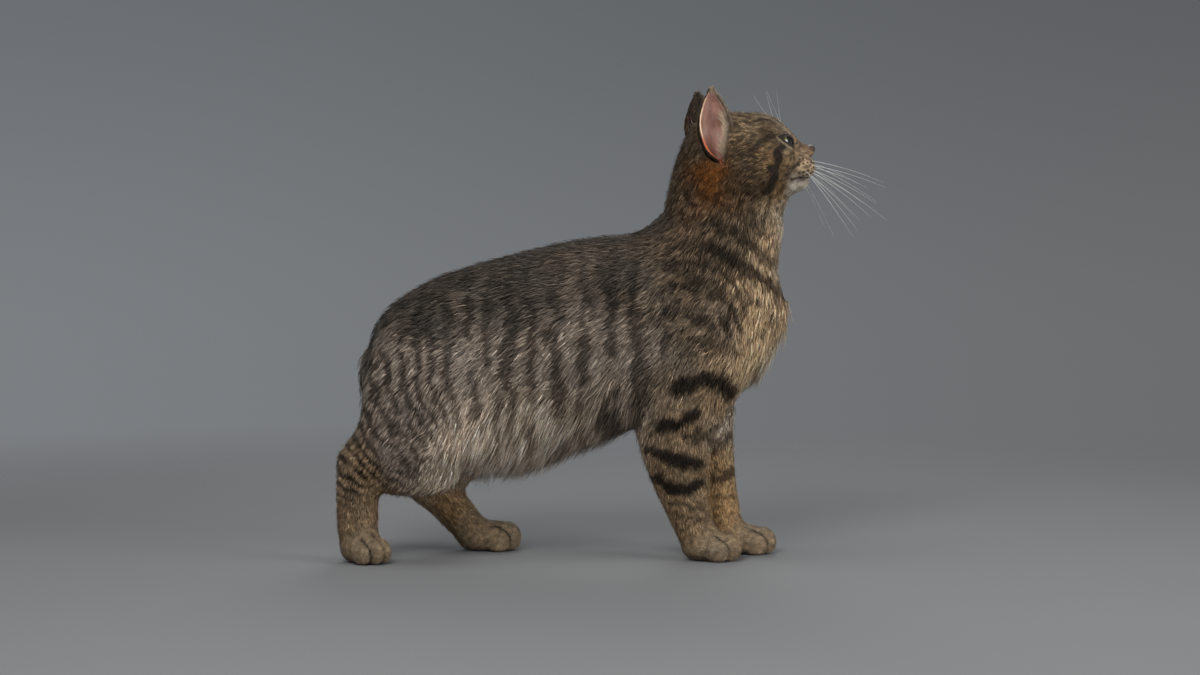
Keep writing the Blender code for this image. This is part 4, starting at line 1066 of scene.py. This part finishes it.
def nearest_limb(points, lumps):
    """The limb on whose surface each point lies, as a number into LIMBS."""
    table = []
    for name in LIMBS:
        if name == "paws":
            apart = np.min([flow_all(points, paw, TOE_BLEND) for paw in lumps["paws"]], axis=0) - 2
        elif name == "head":
            muzzle = flow_all(points, lumps["muzzle"], MUZZLE_BLEND)
            apart = np.minimum(flow_all(points, lumps["head"], HEAD_BLEND), muzzle) - 3
        else:
            apart = np.min([distance(points, lump) for lump in lumps[name]], axis=0)
        table.append(apart)
    return np.argmin(table, axis=0)


def unwrap(points, label, lumps):
    """Each root's place on an unwrap of the limb that it grows on: how far along the limb, and
    the angle round it; for the head and paws two angles about their middles."""
    uv = np.zeros((len(points), 2))
    for number, (name, (u0, v0, u1, v1)) in enumerate(CHARTS.items()):
        here = np.flatnonzero(label == number)
        if not len(here) or name == "ears":
            continue
        spot = points[here]
        if name in ("head", "paws"):
            middles = [(135.0, 2.0, 322.0)]
            if name == "paws":
                middles = [np.array(heel) + (14 if heel[0] > -100 else 12, 0, 11) for heel, _, _ in PAWS]
            middles, slots = np.array(middles), len(middles)
            slot = np.argmin(((spot[:, None] - middles[None]) ** 2).sum(axis=2), axis=1)
            way = unit(spot - middles[slot])
            first = np.arctan2(way[:, 1], way[:, 0]) / (2 * np.pi) + 0.5
            second = np.arccos(np.clip(way[:, 2], -1, 1)) / np.pi
            first = (first + slot) / slots
        else:
            first, second = np.zeros(len(here)), np.zeros(len(here))
            chains = lumps[name]
            closest = np.argmin([distance(spot, lump) for lump in chains], axis=0)
            for k, lump in enumerate(chains):
                mine = np.flatnonzero(closest == k)
                if not len(mine):
                    continue
                local, _, place = along_chain(spot[mine], *lump)
                first[mine] = (np.clip(place, 0, 1) + k) / len(chains)
                second[mine] = np.arctan2(local[:, 2], local[:, 1]) / (2 * np.pi) + 0.5
        uv[here] = np.column_stack([u0 + (u1 - u0) * first, v0 + (v1 - v0) * second])
    return uv


def frame_tufts(ups, lies):
    """Along the skin, and across it, for each root."""
    along = unit(lies - (lies * ups).sum(axis=1, keepdims=True) * ups)
    return along, unit(np.cross(ups, along))


def bent_tufts(roots, mids, tips, ups, across, wide):
    """Closed, bent spindles of six triangles: a point under the skin, a three-sided section at the
    bend, widest there, and the tip."""
    half = wide[:, None]
    points = np.stack([
        roots, mids - across * half * 0.5, mids + across * half * 0.5, mids - ups * half * 0.35, tips,
    ], axis=1)
    faces = np.array([(0, 1, 2), (0, 2, 3), (0, 3, 1), (4, 2, 1), (4, 3, 2), (4, 1, 3)])
    side = np.array([(0.5, 0), (0, 0.5), (1, 0.5), (0.5, 0.55), (0.5, 1)])
    return points, faces, side, (0, 1, 1, 1, 2)


def short_tufts(roots, tips, ups, across, wide):
    """Straight tufts of four triangles, for the face and the feet."""
    half = wide[:, None]
    points = np.stack([
        roots - across * half * 0.5, roots + across * half * 0.5, roots - ups * half * 0.4, tips,
    ], axis=1)
    faces = np.array([(0, 3, 1), (1, 3, 2), (2, 3, 0), (0, 1, 2)])
    side = np.array([(0, 0), (1, 0), (0.5, 0.15), (0.5, 1)])
    return points, faces, side, (0, 0, 0, 2)


def coat_piece(name, shape, ups, shades, uv):
    """One piece of the coat, its shades given at each tuft's root, bend and tip. Each tuft is one
    patch of the bake map, at its root's place."""
    points, faces, side, level = shape
    points = np.maximum(points, (-np.inf, -np.inf, COAT_LEVEL))
    count, corners = points.shape[:2]
    triangles = (faces[None] + (np.arange(count) * corners)[:, None, None]).reshape(-1, 3)
    obj = add_piece(name, points.reshape(-1, 3), triangles)
    give_colour(obj, np.clip(shades[:, level].reshape(-1, 3), 0.004, 0.98))
    place = uv[:, None] + (side[None] - 0.5) * PATCH
    made = obj.data.uv_layers.new(name="OFBake")
    made.data.foreach_set("uv", place.reshape(-1, 2)[triangles.ravel()].astype(np.float32).ravel())
    own = normals_of(obj).reshape(count, corners, 3)
    soft = unit(own * 0.55 + ups[:, None] * 0.75)
    obj.data.normals_split_custom_set_from_vertices(soft.reshape(-1, 3).tolist())
    return obj


def banded_with_root_shade(colours, ticks):
    """Shades of each tuft at its root, bend and tip: dark, as banded hair is and as painted shade
    deep in the coat, then full, then paler or darker by its tick."""
    # The dark root is partly the hair's banding and partly painted shade of the deep coat
    lift = np.stack([np.full(len(ticks), 0.26), 0.82 + 0.35 * ticks, 1.14 + 1.2 * ticks], axis=1)
    return colours * np.clip(lift, 0.2, 2.4)[..., None]


def grow_coat(skin, lumps, lines):
    """Tufts along the lie of the coat, by limb. Each bends over the skin: its middle and tip are
    drawn to their heights in the coat along the slope of the field, and take the markings there."""
    def rate(points):
        length = guided(points)[2]
        return np.clip(DENSITY / length, 0.0, MOST_DENSE) * np.where(length > 9, LONG_SHARE, 1.0)

    roots, ups = sample_skin(skin, rate)
    keep = ~bare(roots, ups, lines)
    roots, ups = roots[keep], ups[keep]
    lie, depth, length, pelt, stripe = guided(roots)
    count = len(roots)
    swirl = np.stack([ripple(roots, 30.0, 20 + k) for k in range(3)], axis=1) * 0.10
    swirl += np.stack([ripple(roots, 6.5, 30 + k) for k in range(3)], axis=1) * 0.08
    along, across = frame_tufts(ups, unit(lie) + swirl + RANDOM.normal(size=(count, 3)) * 0.13)
    long = length * RANDOM.uniform(0.5, 0.9, count) * (1 + 0.25 * smoothstep(16.5, 19.0, length))
    fringe = smoothstep(15.5, 18.5, length)
    stray = RANDOM.random(count) < 0.07 + 0.16 * fringe
    height = depth * np.where(stray, RANDOM.uniform(1.2, 2.0, count), RANDOM.uniform(0.5, 1.1, count))
    short = length < SHORT_HAIR
    sunk = roots - ups * 0.4

    def at(share, part):
        spot = roots + along * (long * share)[:, None]
        want = -depth + height * part
        for _ in range(2):
            spot -= np.clip(flesh_field(spot, lumps) - want, -3, 3)[:, None] * 0.8 * ups
        return spot

    mids, tips = at(0.45, 0.7), at(1.0, 1.0)
    hang = fringe * RANDOM.uniform(0, 1, count) ** 1.4
    mids[:, 2] -= hang * MID_HANG
    tips[:, 2] = np.maximum(tips[:, 2] - hang * TIP_HANG, TIP_LEVEL)
    visible = roots * 0.25 + tips * 0.75
    colours = np.repeat(markings(visible, pelt, stripe, lumps, lines)[:, None], 3, axis=1)
    colours *= np.exp(RANDOM.normal(size=(count, 1, 1)) * 0.3)
    pale = RANDOM.random(count) < 0.3
    ticks = np.where(pale, RANDOM.uniform(0.3, 0.95, count), RANDOM.uniform(-0.4, 0.1, count))
    ticks *= smoothstep(1.5, 6.0, length) * 0.6 + 0.4
    shades = banded_with_root_shade(colours, ticks)
    label = nearest_limb(roots, lumps)
    uv = unwrap(roots, label, lumps)
    wide = np.clip(0.30 + 0.028 * length, 0.32, 0.78) * RANDOM.uniform(0.7, 1.25, count)
    made = []
    kinds = (
        ("fine", short, MOST_SHORT, short_tufts, (sunk, tips, ups, across, wide)),
        ("long", ~short, MOST_BENT, bent_tufts, (sunk, mids, tips, ups, across, wide)),
    )
    for number, limb_name in enumerate(LIMBS):
        for kind, chosen, most, tufts, rows in kinds:
            here = np.flatnonzero((label == number) & chosen)
            here = here[np.argsort(roots[here, 0], kind="stable")]
            groups = np.array_split(here, math.ceil(len(here) / most)) if len(here) else ()
            for k, group in enumerate(groups):
                shape = tufts(*(row[group] for row in rows))
                name = f"coat_{limb_name}_{kind}_{k + 1}"
                made.append(coat_piece(name, shape, ups[group], shades[group], uv[group]))
    return made


def make_ear(side, rows=64, columns=56):
    """The ear's shell: an outer and an inner bowl joined round the rim, with low folds inside."""
    outer, inner = (ear_grid(rows, columns, grow, side) for grow in (0.0, -EAR_THICK))
    v = np.repeat(np.linspace(0, 1, rows)[:, None], columns, axis=1)
    t = np.repeat(np.linspace(-1, 1, columns)[None], rows, axis=0)
    inward = unit(outer - inner).reshape(rows, columns, 3) * -1
    fold = 1.2 * np.exp(-(((t - 0.62) / 0.10) ** 2)) * smoothstep(0.02, 0.12, v) * smoothstep(0.5, 0.28, v)
    fold += 0.9 * np.exp(-(((t + 0.30 + 0.5 * v) / 0.12) ** 2)) * smoothstep(0.6, 0.25, v)
    fold += 0.6 * np.exp(-(((t - 0.1 - 0.3 * v) / 0.10) ** 2)) * smoothstep(0.55, 0.2, v)
    inner = inner + (inward * fold[..., None]).reshape(-1, 3)
    size = rows * columns
    quads = grid_faces(rows, columns)
    row = np.arange(rows - 1)
    sides = []
    for edge, turn in ((0, 1), (columns - 1, -1)):
        low = row * columns + edge
        rim = np.column_stack([low, low + columns, low + columns + size, low + size])
        sides.append(rim[:, ::turn])
    k = np.arange(columns - 1)
    for level in (0, rows - 1):
        low = level * columns + k
        sides.append(np.column_stack([low, low + 1, low + 1 + size, low + size]))
    faces = np.vstack([quads, quads[:, ::-1] + size, *sides])
    obj = face_out(add_piece(f"ear_shell_{SIDES[side]}", np.vstack([outer, inner]), faces))
    give_colour(obj, ear_colours(points_of(obj), side))
    obj.data.shade_smooth()
    return obj


def ear_colours(points, side):
    """Pink in the bowl, darkening towards its foot as painted shade, pale orange along the rear
    rim, red-orange at its foot, and brown-grey behind."""
    straight, row, right, front = beside_ear(points, side, 90)
    wide, wrap = row[:, 3], row[:, 4]
    front = np.where(front < 0, front / EAR_DEPTH, front)
    turn = np.degrees(np.abs(np.arctan2(right, -front)))
    reach = np.hypot(right, front)
    rear = right < 0 if straight[right < 0, 0].mean() < straight[right > 0, 0].mean() else right > 0
    bowl = smoothstep(wide - 0.2, wide - 0.9, reach)
    rim = smoothstep(wrap - 14, wrap - 4, turn)
    tall = smoothstep(EAR[0][2], EAR[-1][2], straight[:, 2])
    # Painted shade: the bowl's pink darkens towards the foot of the ear
    inside = towards(np.array(EAR_DEEP_SHADE), EAR_PINK, smoothstep(0.0, 0.45, tall))
    colour = towards(np.array(EAR_BACK), inside, bowl)
    colour = towards(colour, EAR_AMBER, rim * rear)
    return towards(colour, EAR_CORAL, rim * rear * smoothstep(0.42, 0.16, tall))


def tube(path, radii, sides=8):
    """Rings (cos u, sin u) times the radius, square to the path, with a point at each end."""
    path = np.asarray(path, float)
    along = unit(np.gradient(path, axis=0))
    first = unit(np.cross(along, (0.31, 0.17, 0.93)))
    second = np.cross(along, first)
    turn = around(sides)
    rings = path[:, None] + np.asarray(radii)[:, None, None] * (
        np.cos(turn)[None, :, None] * first[:, None] + np.sin(turn)[None, :, None] * second[:, None]
    )
    return np.vstack([rings.reshape(-1, 3), path[0], path[-1]]), closed_faces(len(path), sides)


def join_shapes(name, shapes):
    """One piece from several meshes of triangles."""
    points, faces, start = [], [], 0
    for spots, corners in shapes:
        points.append(spots)
        faces.append(corners + start)
        start += len(spots)
    return face_out(add_piece(name, np.vstack(points), np.vstack(faces)))


def make_whiskers(lumps):
    """Tapered hairs: root to tip, drooping by droop s (1 - s), the radius falling as
    (1 - s)^0.7."""
    shapes = []
    share = np.linspace(0, 1, 22)
    for rows, thick, droop in HAIRS:
        for side in SIDES:
            starts, slopes = on_skin([root for root, _ in rows], lumps, side, 0.3)
            for (_, tip), start, slope in zip(rows, starts, slopes):
                end = on_head(tip, side)
                path = start + (end - start) * share[:, None]
                path[:, 2] += droop * share * (1 - share)
                path = np.vstack([start - slope * 2, path])
                radii = np.concatenate([[thick], thick * (1 - share) ** 0.7 + 0.03])
                shapes.append(tube(path, radii, 6))
    return join_shapes("whiskers", shapes)


def lid_edge(side, count, size, over):
    """The almond laid on a sphere that is over millimetres outside the eyeball."""
    centre, look, slit, upward = eye_frame(side)
    along, up = almond(count)
    along, up = along * size, up * size
    deep = np.sqrt(np.clip((EYE_RADIUS + over) ** 2 - along**2 - up**2, 1, None))
    return centre + slit * along[:, None] + upward * up[:, None] + look * deep[:, None]


def make_lid_rim(side):
    """The wet dark edge of the lids: a tube along the almond."""
    path = lid_edge(side, 72, 0.90, 0.75)
    path = np.vstack([path, path[:1]])
    return join_shapes(f"lid_rim_{SIDES[side]}", [tube(path, np.full(len(path), 0.62), 10)])


def make_eye(side, rings=48, sides=72):
    """The eyeball: r(v) = radius + 0.2 exp(-(v / 0.62)^4) about the way it looks, with its own
    local place kept as the attribute gaze for the iris and pupil."""
    centre, look, _, _ = eye_frame(side)
    level = np.array((0.0, 0.0, 1.0))
    tall = unit(level - look * look[2])
    flat = np.cross(tall, look)
    v = np.linspace(0.0, np.pi, rings)[:, None]
    u = around(sides)[None]
    local = (np.sin(v) * np.cos(u), np.sin(v) * np.sin(u), np.cos(v) + 0 * u)
    local = np.stack(local, axis=2)
    reach = EYE_RADIUS - 0.1 + 0.2 * np.exp(-((v / 0.62) ** 4))
    points = centre + (local * reach[..., None]) @ np.stack([flat, tall, look])
    quads = grid_faces(rings, sides, wrap=True)
    obj = add_piece(f"eyeball_{SIDES[side]}", points.reshape(-1, 3), quads)
    give_colour(obj, local.reshape(-1, 3) * 0.5 + 0.5, "gaze")
    return face_out(obj)


def make_nose(rings=60, sides=80):
    """Nose leather: a sphere boxed to the power 2.8, drawn in to a wedge below, with two comma
    nostrils and their slits pressed in, and a groove down its middle."""
    v = np.linspace(0, np.pi, rings)[:, None]
    u = around(sides)[None]
    x = np.cos(v) + 0 * u
    y = np.sin(v) * np.cos(u)
    z = np.sin(v) * np.sin(u)
    box = (np.abs(x) ** 2.8 + np.hypot(y, z) ** 2.8) ** (1 / 2.8)
    x, y, z = x / box, y / box, z / box
    rx, ry, rz = NOSE_RADII
    wedge = 1 - 0.45 * smoothstep(0.2, -0.9, z)
    px, py, pz = x * (rx - 0.3), y * (ry - 0.4) * wedge, z * (rz - 0.2)
    px = px - 0.16 * np.abs(py) ** 1.4 * smoothstep(-0.3, 0.5, x) * 0.6 - 0.2 * np.clip(-pz, 0, None)
    front = smoothstep(-0.3, 0.3, x)
    hole = np.exp(-(((np.abs(py) - 2.7 - 0.2 * pz) / 1.15) ** 2) - ((pz + 0.7) / 0.85) ** 2)
    slit = np.exp(-(((np.abs(py) - 4.6) / 1.2) ** 2) - ((pz + 1.0 + 0.25 * (np.abs(py) - 4.6)) / 0.55) ** 2)
    groove = np.exp(-((py / 0.4) ** 2)) * smoothstep(1.2, -1.5, pz)
    px = px - front * (2.0 * hole + 0.5 * groove) - 0.8 * slit
    local = np.stack([px, py, pz], axis=2).reshape(-1, 3) + NOSE_CENTRE - np.array((0.5, 0, -0.1))
    obj = add_piece("nose_leather", head_turned(local), grid_faces(rings, sides, wrap=True))
    # The nostrils and their slits, kept for the painted shade that the nose's material puts in them
    give_colour(obj, np.repeat(np.maximum(front * hole, 0.9 * slit).reshape(-1, 1), 3, axis=1), "nostril_shade")
    return face_out(obj)


def ear_coat(side, rows=70, columns=60):
    """Short fur over the back of the ear, a fringe along its rims and tip, and long pale hairs
    across its foot from the front rim."""
    bowls = (ear_grid(rows, columns, grow, side) for grow in (0.0, -EAR_THICK))
    grid, inner = (bowl.reshape(rows, columns, 3) for bowl in bowls)
    outwards = unit(grid - inner)
    upwards, sideways = (unit(np.gradient(grid, axis=axis)) for axis in (0, 1))
    straight = head_straight(grid)
    front = 1.0 if straight[:, -1, 0].mean() > straight[:, 0, 0].mean() else -1.0
    u0, v0, u1, v1 = CHARTS["ears"]
    half = (u1 - u0) / 2
    parts = []
    for count, up_span, across_span, rim, lie, lift, length, wide, sunk, colour in EAR_TUFTS:
        v = RANDOM.uniform(*up_span, count)
        t = RANDOM.uniform(*across_span, count) * (front * rim if rim else 1.0)
        r = np.clip((v * (rows - 1)).astype(int), 0, rows - 1)
        c = np.clip(((t + 1) / 2 * (columns - 1)).astype(int), 0, columns - 1)
        up, way, turn = outwards[r, c], upwards[r, c], sideways[r, c]
        jitter = RANDOM.normal(size=(count, 3)) * 0.3
        spot = grid[r, c] + jitter - (jitter * up).sum(axis=1, keepdims=True) * up
        swirl = RANDOM.normal(size=(count, 3)) * 0.13
        direction = unit(lie[0] * way + lie[1] * turn * front + lift * up + swirl)
        long = (length * RANDOM.uniform(0.7, 1.25, count) * 0.5)[:, None]
        mids = spot + direction * long
        tips = mids + unit(direction + 0.25 * way - 0.2 * up) * long
        across = unit(np.cross(direction, up) + 1e-6)
        shades = np.array(colour) * np.exp(RANDOM.normal(size=(count, 1)) * 0.22)
        place = u0 + half * (side < 0) + half * 0.96 * v, v0 + (v1 - v0) * (t + 1) / 2
        shape = bent_tufts(spot - up * sunk, mids, tips, up, across, np.full(count, wide))
        parts.append((shape[0], up, shades, np.column_stack(place)))
    points, up, shades, uv = (np.vstack(part) for part in zip(*parts))
    shades = banded_with_root_shade(shades[:, None], RANDOM.uniform(-0.1, 0.3, len(up)))
    return coat_piece(f"coat_ear_{SIDES[side]}", (points, *shape[1:]), up, shades, uv)


def operator(operation):
    """An operator on signals, which adds a Math node, and its reflected form."""
    def plain(one, other):
        return one.paint.node("ShaderNodeMath", {0: one, 1: other}, operation=operation)

    def reflected(one, other):
        return one.paint.node("ShaderNodeMath", {0: other, 1: one}, operation=operation)

    return plain, reflected


class Signal:
    """A socket of a material's nodes."""

    __add__, __radd__ = operator("ADD")
    __sub__, __rsub__ = operator("SUBTRACT")
    __mul__, __rmul__ = operator("MULTIPLY")
    __pow__, __rpow__ = operator("POWER")

    def __init__(self, paint, socket):
        self.paint, self.socket = paint, socket


class Paint:
    """A material, or the world. Constants are set on the shader's own sockets."""

    def __init__(self, name, home="materials", shader="Principled BSDF", **constants):
        self.owner = getattr(bpy.data, home).new(name)
        self.owner.use_nodes = True
        self.tree = self.owner.node_tree
        self.shader = self.tree.nodes[shader]
        for socket, value in constants.items():
            self.shader.inputs[socket.replace("_", " ")].default_value = value

    def node(self, kind, inputs=None, output=0, stops=None, **settings):
        """A node of a type, with its settings, the stops of its ramp, and its sockets' values."""
        made = self.tree.nodes.new(kind)
        for name, value in settings.items():
            setattr(made, name, value)
        if stops:
            ramp = made.color_ramp
            for k, (place, colour) in enumerate(stops):
                stop = ramp.elements[k] if k < 2 else ramp.elements.new(place)
                stop.position, stop.color = place, (*colour, 1.0)
        for socket, value in (inputs or {}).items():
            self.feed(made.inputs[socket], value)
        return Signal(self, made.outputs[output])

    def feed(self, socket, value):
        if isinstance(value, Signal):
            self.tree.links.new(value.socket, socket)
        else:
            socket.default_value = value

    def surface(self, **sockets):
        for name, value in sockets.items():
            self.feed(self.shader.inputs[name.replace("_", " ")], value)
        return self.owner

    def parts(self, kind, value, *names):
        """The parts of a colour or a vector, by name."""
        node = self.node(kind, {0: value}).socket.node
        return [Signal(self, node.outputs[name]) for name in names]

    def place(self, stretch=(1, 1, 1), turn=(0, 0, 0)):
        """Object coordinates, stretched and turned."""
        spot = self.node("ShaderNodeTexCoord", output="Object")
        return self.node("ShaderNodeMapping", {"Vector": spot, "Scale": stretch, "Rotation": turn})

    def noise(self, size, place=None, detail=3.0):
        """Noise whose lumps are about size millimetres across."""
        inputs = {"Vector": place or self.place(), "Scale": 1 / (size * MM), "Detail": detail}
        return self.node("ShaderNodeTexNoise", inputs, output="Fac")

    def ramp(self, factor, *stops):
        return self.node("ShaderNodeValToRGB", {"Fac": factor}, output="Color", stops=stops)

    def mix(self, factor, one, other, blend="MIX"):
        one, other = (c if isinstance(c, Signal) else (*c, 1.0) for c in (one, other))
        inputs = {0: factor, 6: one, 7: other}
        return self.node("ShaderNodeMix", inputs, output=2, data_type="RGBA", blend_type=blend)

    def shade(self, colour, factor, *stops):
        """The colour, multiplied by greys of a ramp."""
        greys = [(place, (grey,) * 3) for place, grey in stops]
        return self.mix(1.0, colour, self.ramp(factor, *greys), "MULTIPLY")

    def span(self, value, low, high, first=0.0, last=1.0, kind="SMOOTHSTEP"):
        """From first to last as the value goes from low to high."""
        inputs = {"Value": value, "From Min": low, "From Max": high, "To Min": first, "To Max": last}
        return self.node("ShaderNodeMapRange", inputs, output="Result", interpolation_type=kind)

    def attribute(self, name):
        return self.node("ShaderNodeAttribute", output="Color", attribute_name=name)

    def bump(self, height, strength, depth):
        inputs = {"Height": height, "Strength": strength, "Distance": depth * MM}
        return self.node("ShaderNodeBump", inputs, output="Normal")


def coat_material():
    """Hair: the markings with fine ticking, soft and hardly glossy."""
    paint = Paint("coat_fur", Sheen_Weight=0.02, Sheen_Roughness=0.4, Specular_IOR_Level=0.14)
    tick = paint.noise(1.6, detail=2.0)
    broad = paint.noise(14.0)
    grey = paint.mix(0.5 * broad, (1.04, 1.0, 0.95), (0.98, 0.98, 0.97))
    colour = paint.mix(1.0, paint.attribute("markings"), grey, "MULTIPLY")
    colour = paint.shade(colour, tick, (0.3, 0.8), (0.7, 1.2))
    return paint.surface(Base_Color=colour, Roughness=0.48 + 0.2 * tick)


def skin_material():
    """Undercoat: the markings, streaked along the lie of the coat."""
    paint = Paint("coat_ground", Sheen_Weight=0.1, Specular_IOR_Level=0.2)
    streak = paint.noise(0.9, paint.place((0.22, 1.0, 0.45), (0.0, 0.6, 0.0)), 4.0)
    pores = paint.noise(0.5, detail=3.0)
    colour = paint.shade(paint.attribute("markings"), streak, (0.3, 0.6), (0.7, 1.25))
    normal = paint.bump(0.7 * streak + 0.3 * pores, 0.6, 0.5)
    return paint.surface(Base_Color=colour, Roughness=0.62 + 0.2 * streak, Normal=normal)


def ear_material():
    """Thin ear skin: the painted tints with faint veins and a fine grain."""
    depth = (0.004, 0.0012, 0.0007)
    paint = Paint("ear_skin", Subsurface_Weight=0.25, Subsurface_Radius=depth, Subsurface_Scale=0.6)
    veins = paint.noise(5.0, paint.place((1.0, 1.0, 0.3)), 6.0)
    grain = paint.noise(0.6, detail=4.0)
    dark, plain, pale = (0.82, 0.70, 0.68), (1.0, 0.98, 0.96), (1.12, 1.08, 1.05)
    tint = paint.ramp(veins, (0.42, dark), (0.5, plain), (0.62, pale))
    colour = paint.mix(1.0, paint.attribute("markings"), tint, "MULTIPLY")
    bump = paint.bump(grain, 0.35, 0.2)
    return paint.surface(Base_Color=colour, Roughness=0.45 + 0.2 * grain, Normal=bump)


def eye_material():
    """Wet eye: a slit pupil, an iris of radial fibres with a dark edge, and a dim white; the iris is
    green-gold, darkened to dark olive as painted shade under the lids and brow.
    """
    paint = Paint("eye_wet", Coat_Weight=1.0, Coat_Roughness=0.03, Roughness=0.25)
    red, green = paint.parts("ShaderNodeSeparateColor", paint.attribute("gaze"), "Red", "Green")
    across, tall = 2.0 * red - 1.0, 2.0 * green - 1.0
    reach = (across * across + tall * tall) ** 0.5
    angle = paint.node("ShaderNodeMath", {0: tall, 1: across}, operation="ARCTAN2")
    fibre_place = paint.node("ShaderNodeCombineXYZ", {"X": 7.0 * angle, "Y": 1.5 * reach})
    streak = {"Vector": fibre_place, "Scale": 2.2, "Detail": 5.0}
    fibres = paint.node("ShaderNodeTexNoise", streak, output="Fac")
    ring = reach + 0.08 * fibres
    # Painted shade: the iris's green-gold is darkened for the shade of the lids and brow
    iris = paint.ramp(
        ring, (0.0, (0.14, 0.105, 0.028)), (0.35, (0.15, 0.13, 0.04)), (0.6, (0.08, 0.08, 0.028)),
        (0.72, (0.03, 0.028, 0.014)), (0.84, (0.07, 0.05, 0.038)),
    )
    iris = paint.shade(iris, fibres, (0.35, 0.6), (0.7, 1.3))
    slit = across * across * 9.0 + tall * tall * 2.4
    pupil = paint.span(slit, 0.85, 1.05, 1.0, 0.0, "LINEAR")
    return paint.surface(Base_Color=paint.mix(pupil, iris, (0.004, 0.004, 0.004)))


def nose_material():
    """Nose leather: mauve-brown pebbles, slightly moist, nearly black with painted shade in the
    nostrils and their slits.
    """
    paint = Paint("nose_leather", Coat_Roughness=0.25)
    pebble = {"Vector": paint.place(), "Scale": 1 / (0.55 * MM)}
    cells = paint.node("ShaderNodeTexVoronoi", pebble, output="Distance")
    blotch = paint.noise(2.5)
    colour = paint.mix(blotch, (0.075, 0.038, 0.029), (0.036, 0.020, 0.016))
    nostril_shade = paint.parts("ShaderNodeSeparateColor", paint.attribute("nostril_shade"), "Red")[0]
    # Painted shade: nearly black in the nostrils and their slits
    colour = paint.mix(nostril_shade, colour, (0.008, 0.005, 0.005))
    return paint.surface(
        Base_Color=colour, Roughness=0.42 + 0.15 * blotch, Coat_Weight=0.2 - 0.18 * nostril_shade,
        Normal=paint.bump(cells, 0.5, 0.18),
    )


def rim_material():
    """Lid edges: dark moist skin."""
    paint = Paint("lid_skin", Coat_Weight=0.6, Coat_Roughness=0.15)
    grain = paint.noise(0.8)
    colour = paint.mix(grain, (0.02, 0.014, 0.012), (0.05, 0.034, 0.028))
    bump = paint.bump(grain, 0.3, 0.1)
    return paint.surface(Base_Color=colour, Roughness=0.35 + 0.2 * grain, Normal=bump)


def whisker_material():
    """Whiskers: ivory hair, a little uneven in tone."""
    paint = Paint("whisker_hair", Specular_IOR_Level=0.6)
    tone = paint.noise(9.0)
    colour = paint.mix(tone, (0.54, 0.53, 0.51), (0.72, 0.71, 0.69))
    return paint.surface(Base_Color=colour, Roughness=0.25 + 0.15 * tone)


def floor_material():
    """Seamless paper: pale grey with a faint unevenness, fading out around the cat."""
    paint = Paint("studio_paper")
    tone = paint.noise(260.0, detail=2.0)
    spot = paint.node("ShaderNodeTexCoord", output="Object")
    reach = paint.node("ShaderNodeVectorMath", {0: spot}, output="Value", operation="LENGTH")
    colour = paint.mix(tone, (0.197, 0.201, 0.207), (0.215, 0.219, 0.225))
    alpha = paint.span(reach, *FLOOR_CLEAR, 1.0, 0.0)
    return paint.surface(Base_Color=colour, Roughness=0.8 + 0.1 * tone, Alpha=alpha)


def make_floor(rings=24, sides=96):
    """A flat disc at z = 0: (r cos u, r sin u, 0)."""
    r = np.linspace(0.02, FLOOR_RADIUS, rings)[:, None]
    u = around(sides)[None]
    points = np.stack([r * np.cos(u), r * np.sin(u), 0 * r * u], axis=2).reshape(-1, 3)
    points = np.vstack([points, (0, 0, 0)])
    quads = grid_faces(rings, sides, wrap=True)
    k = np.arange(sides)
    middle = np.column_stack([np.full(sides, rings * sides), k, (k + 1) % sides])
    faces = np.vstack([quads[:, (0, 2, 1)], quads[:, (0, 3, 2)], middle])
    obj = add_piece("studio_floor", points / MM - ORIGIN_SHIFT, faces)
    obj.data.materials.append(floor_material())


def area_light(name, place, aim, size, power, colour):
    data = bpy.data.lights.new(name, "AREA")
    data.shape, data.size, data.energy, data.color = "DISK", size, power, colour
    obj = bpy.data.objects.new(name, data)
    obj.location = place
    obj.rotation_euler = (Vector(aim) - Vector(place)).to_track_quat("-Z", "Y").to_euler()
    bpy.context.scene.collection.objects.link(obj)


def make_world():
    """Grey studio air: darker upwards, and a little lighter to the left."""
    paint = Paint("studio", "worlds", "Background")
    way = paint.node("ShaderNodeTexCoord", output="Generated")
    up, across = paint.parts("ShaderNodeSeparateXYZ", way, "Z", "X")
    height = paint.mix(paint.span(up, -0.06, 0.12), (0.175, 0.180, 0.187), (0.125, 0.131, 0.138))
    cast = paint.mix(paint.span(across, -0.28, 0.28), (1.14, 1.17, 1.2), (0.84, 0.85, 0.84))
    bpy.context.scene.world = paint.surface(Color=paint.mix(1.0, height, cast, "MULTIPLY"))


def make_studio():
    make_floor()
    make_world()
    for light in LIGHTS:
        area_light(*light)
    data = bpy.data.cameras.new("camera")
    data.lens, data.sensor_width = LENS, SENSOR
    camera = bpy.data.objects.new("camera", data)
    camera.location = CAMERA_PLACE
    camera.rotation_euler = (math.radians(90 - CAMERA_DOWN), 0.0, 0.0)
    bpy.context.scene.collection.objects.link(camera)
    bpy.context.scene.camera = camera
    bpy.context.scene.view_settings.view_transform = "Standard"


def dress(obj, material, slot, *replaced):
    obj.data.materials.clear()
    obj.data.materials.append(material)
    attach(obj, "root")
    if replaced:
        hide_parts(*replaced)


def main():
    lumps = flesh_lumps()
    make_studio()
    skin, lines = make_skin(lumps)
    colour_skin(skin, lines, lumps)
    dress(skin, skin_material(), "coat", *FLESH_NODES)
    fur, ear_skin, eye, rim = coat_material(), ear_material(), eye_material(), rim_material()
    for piece in grow_coat(skin, lumps, lines):
        dress(piece, fur, "coat")
    for side, name in SIDES.items():
        dress(make_ear(side), ear_skin, "ear_skin", f"ear_{name}")
        dress(ear_coat(side), fur, "coat")
        dress(make_eye(side), eye, "eye", f"eye_{name}")
        dress(make_lid_rim(side), rim, "nose_leather")
    dress(make_nose(), nose_material(), "nose_leather", "nose")
    dress(make_whiskers(lumps), whisker_material(), "coat")


main()
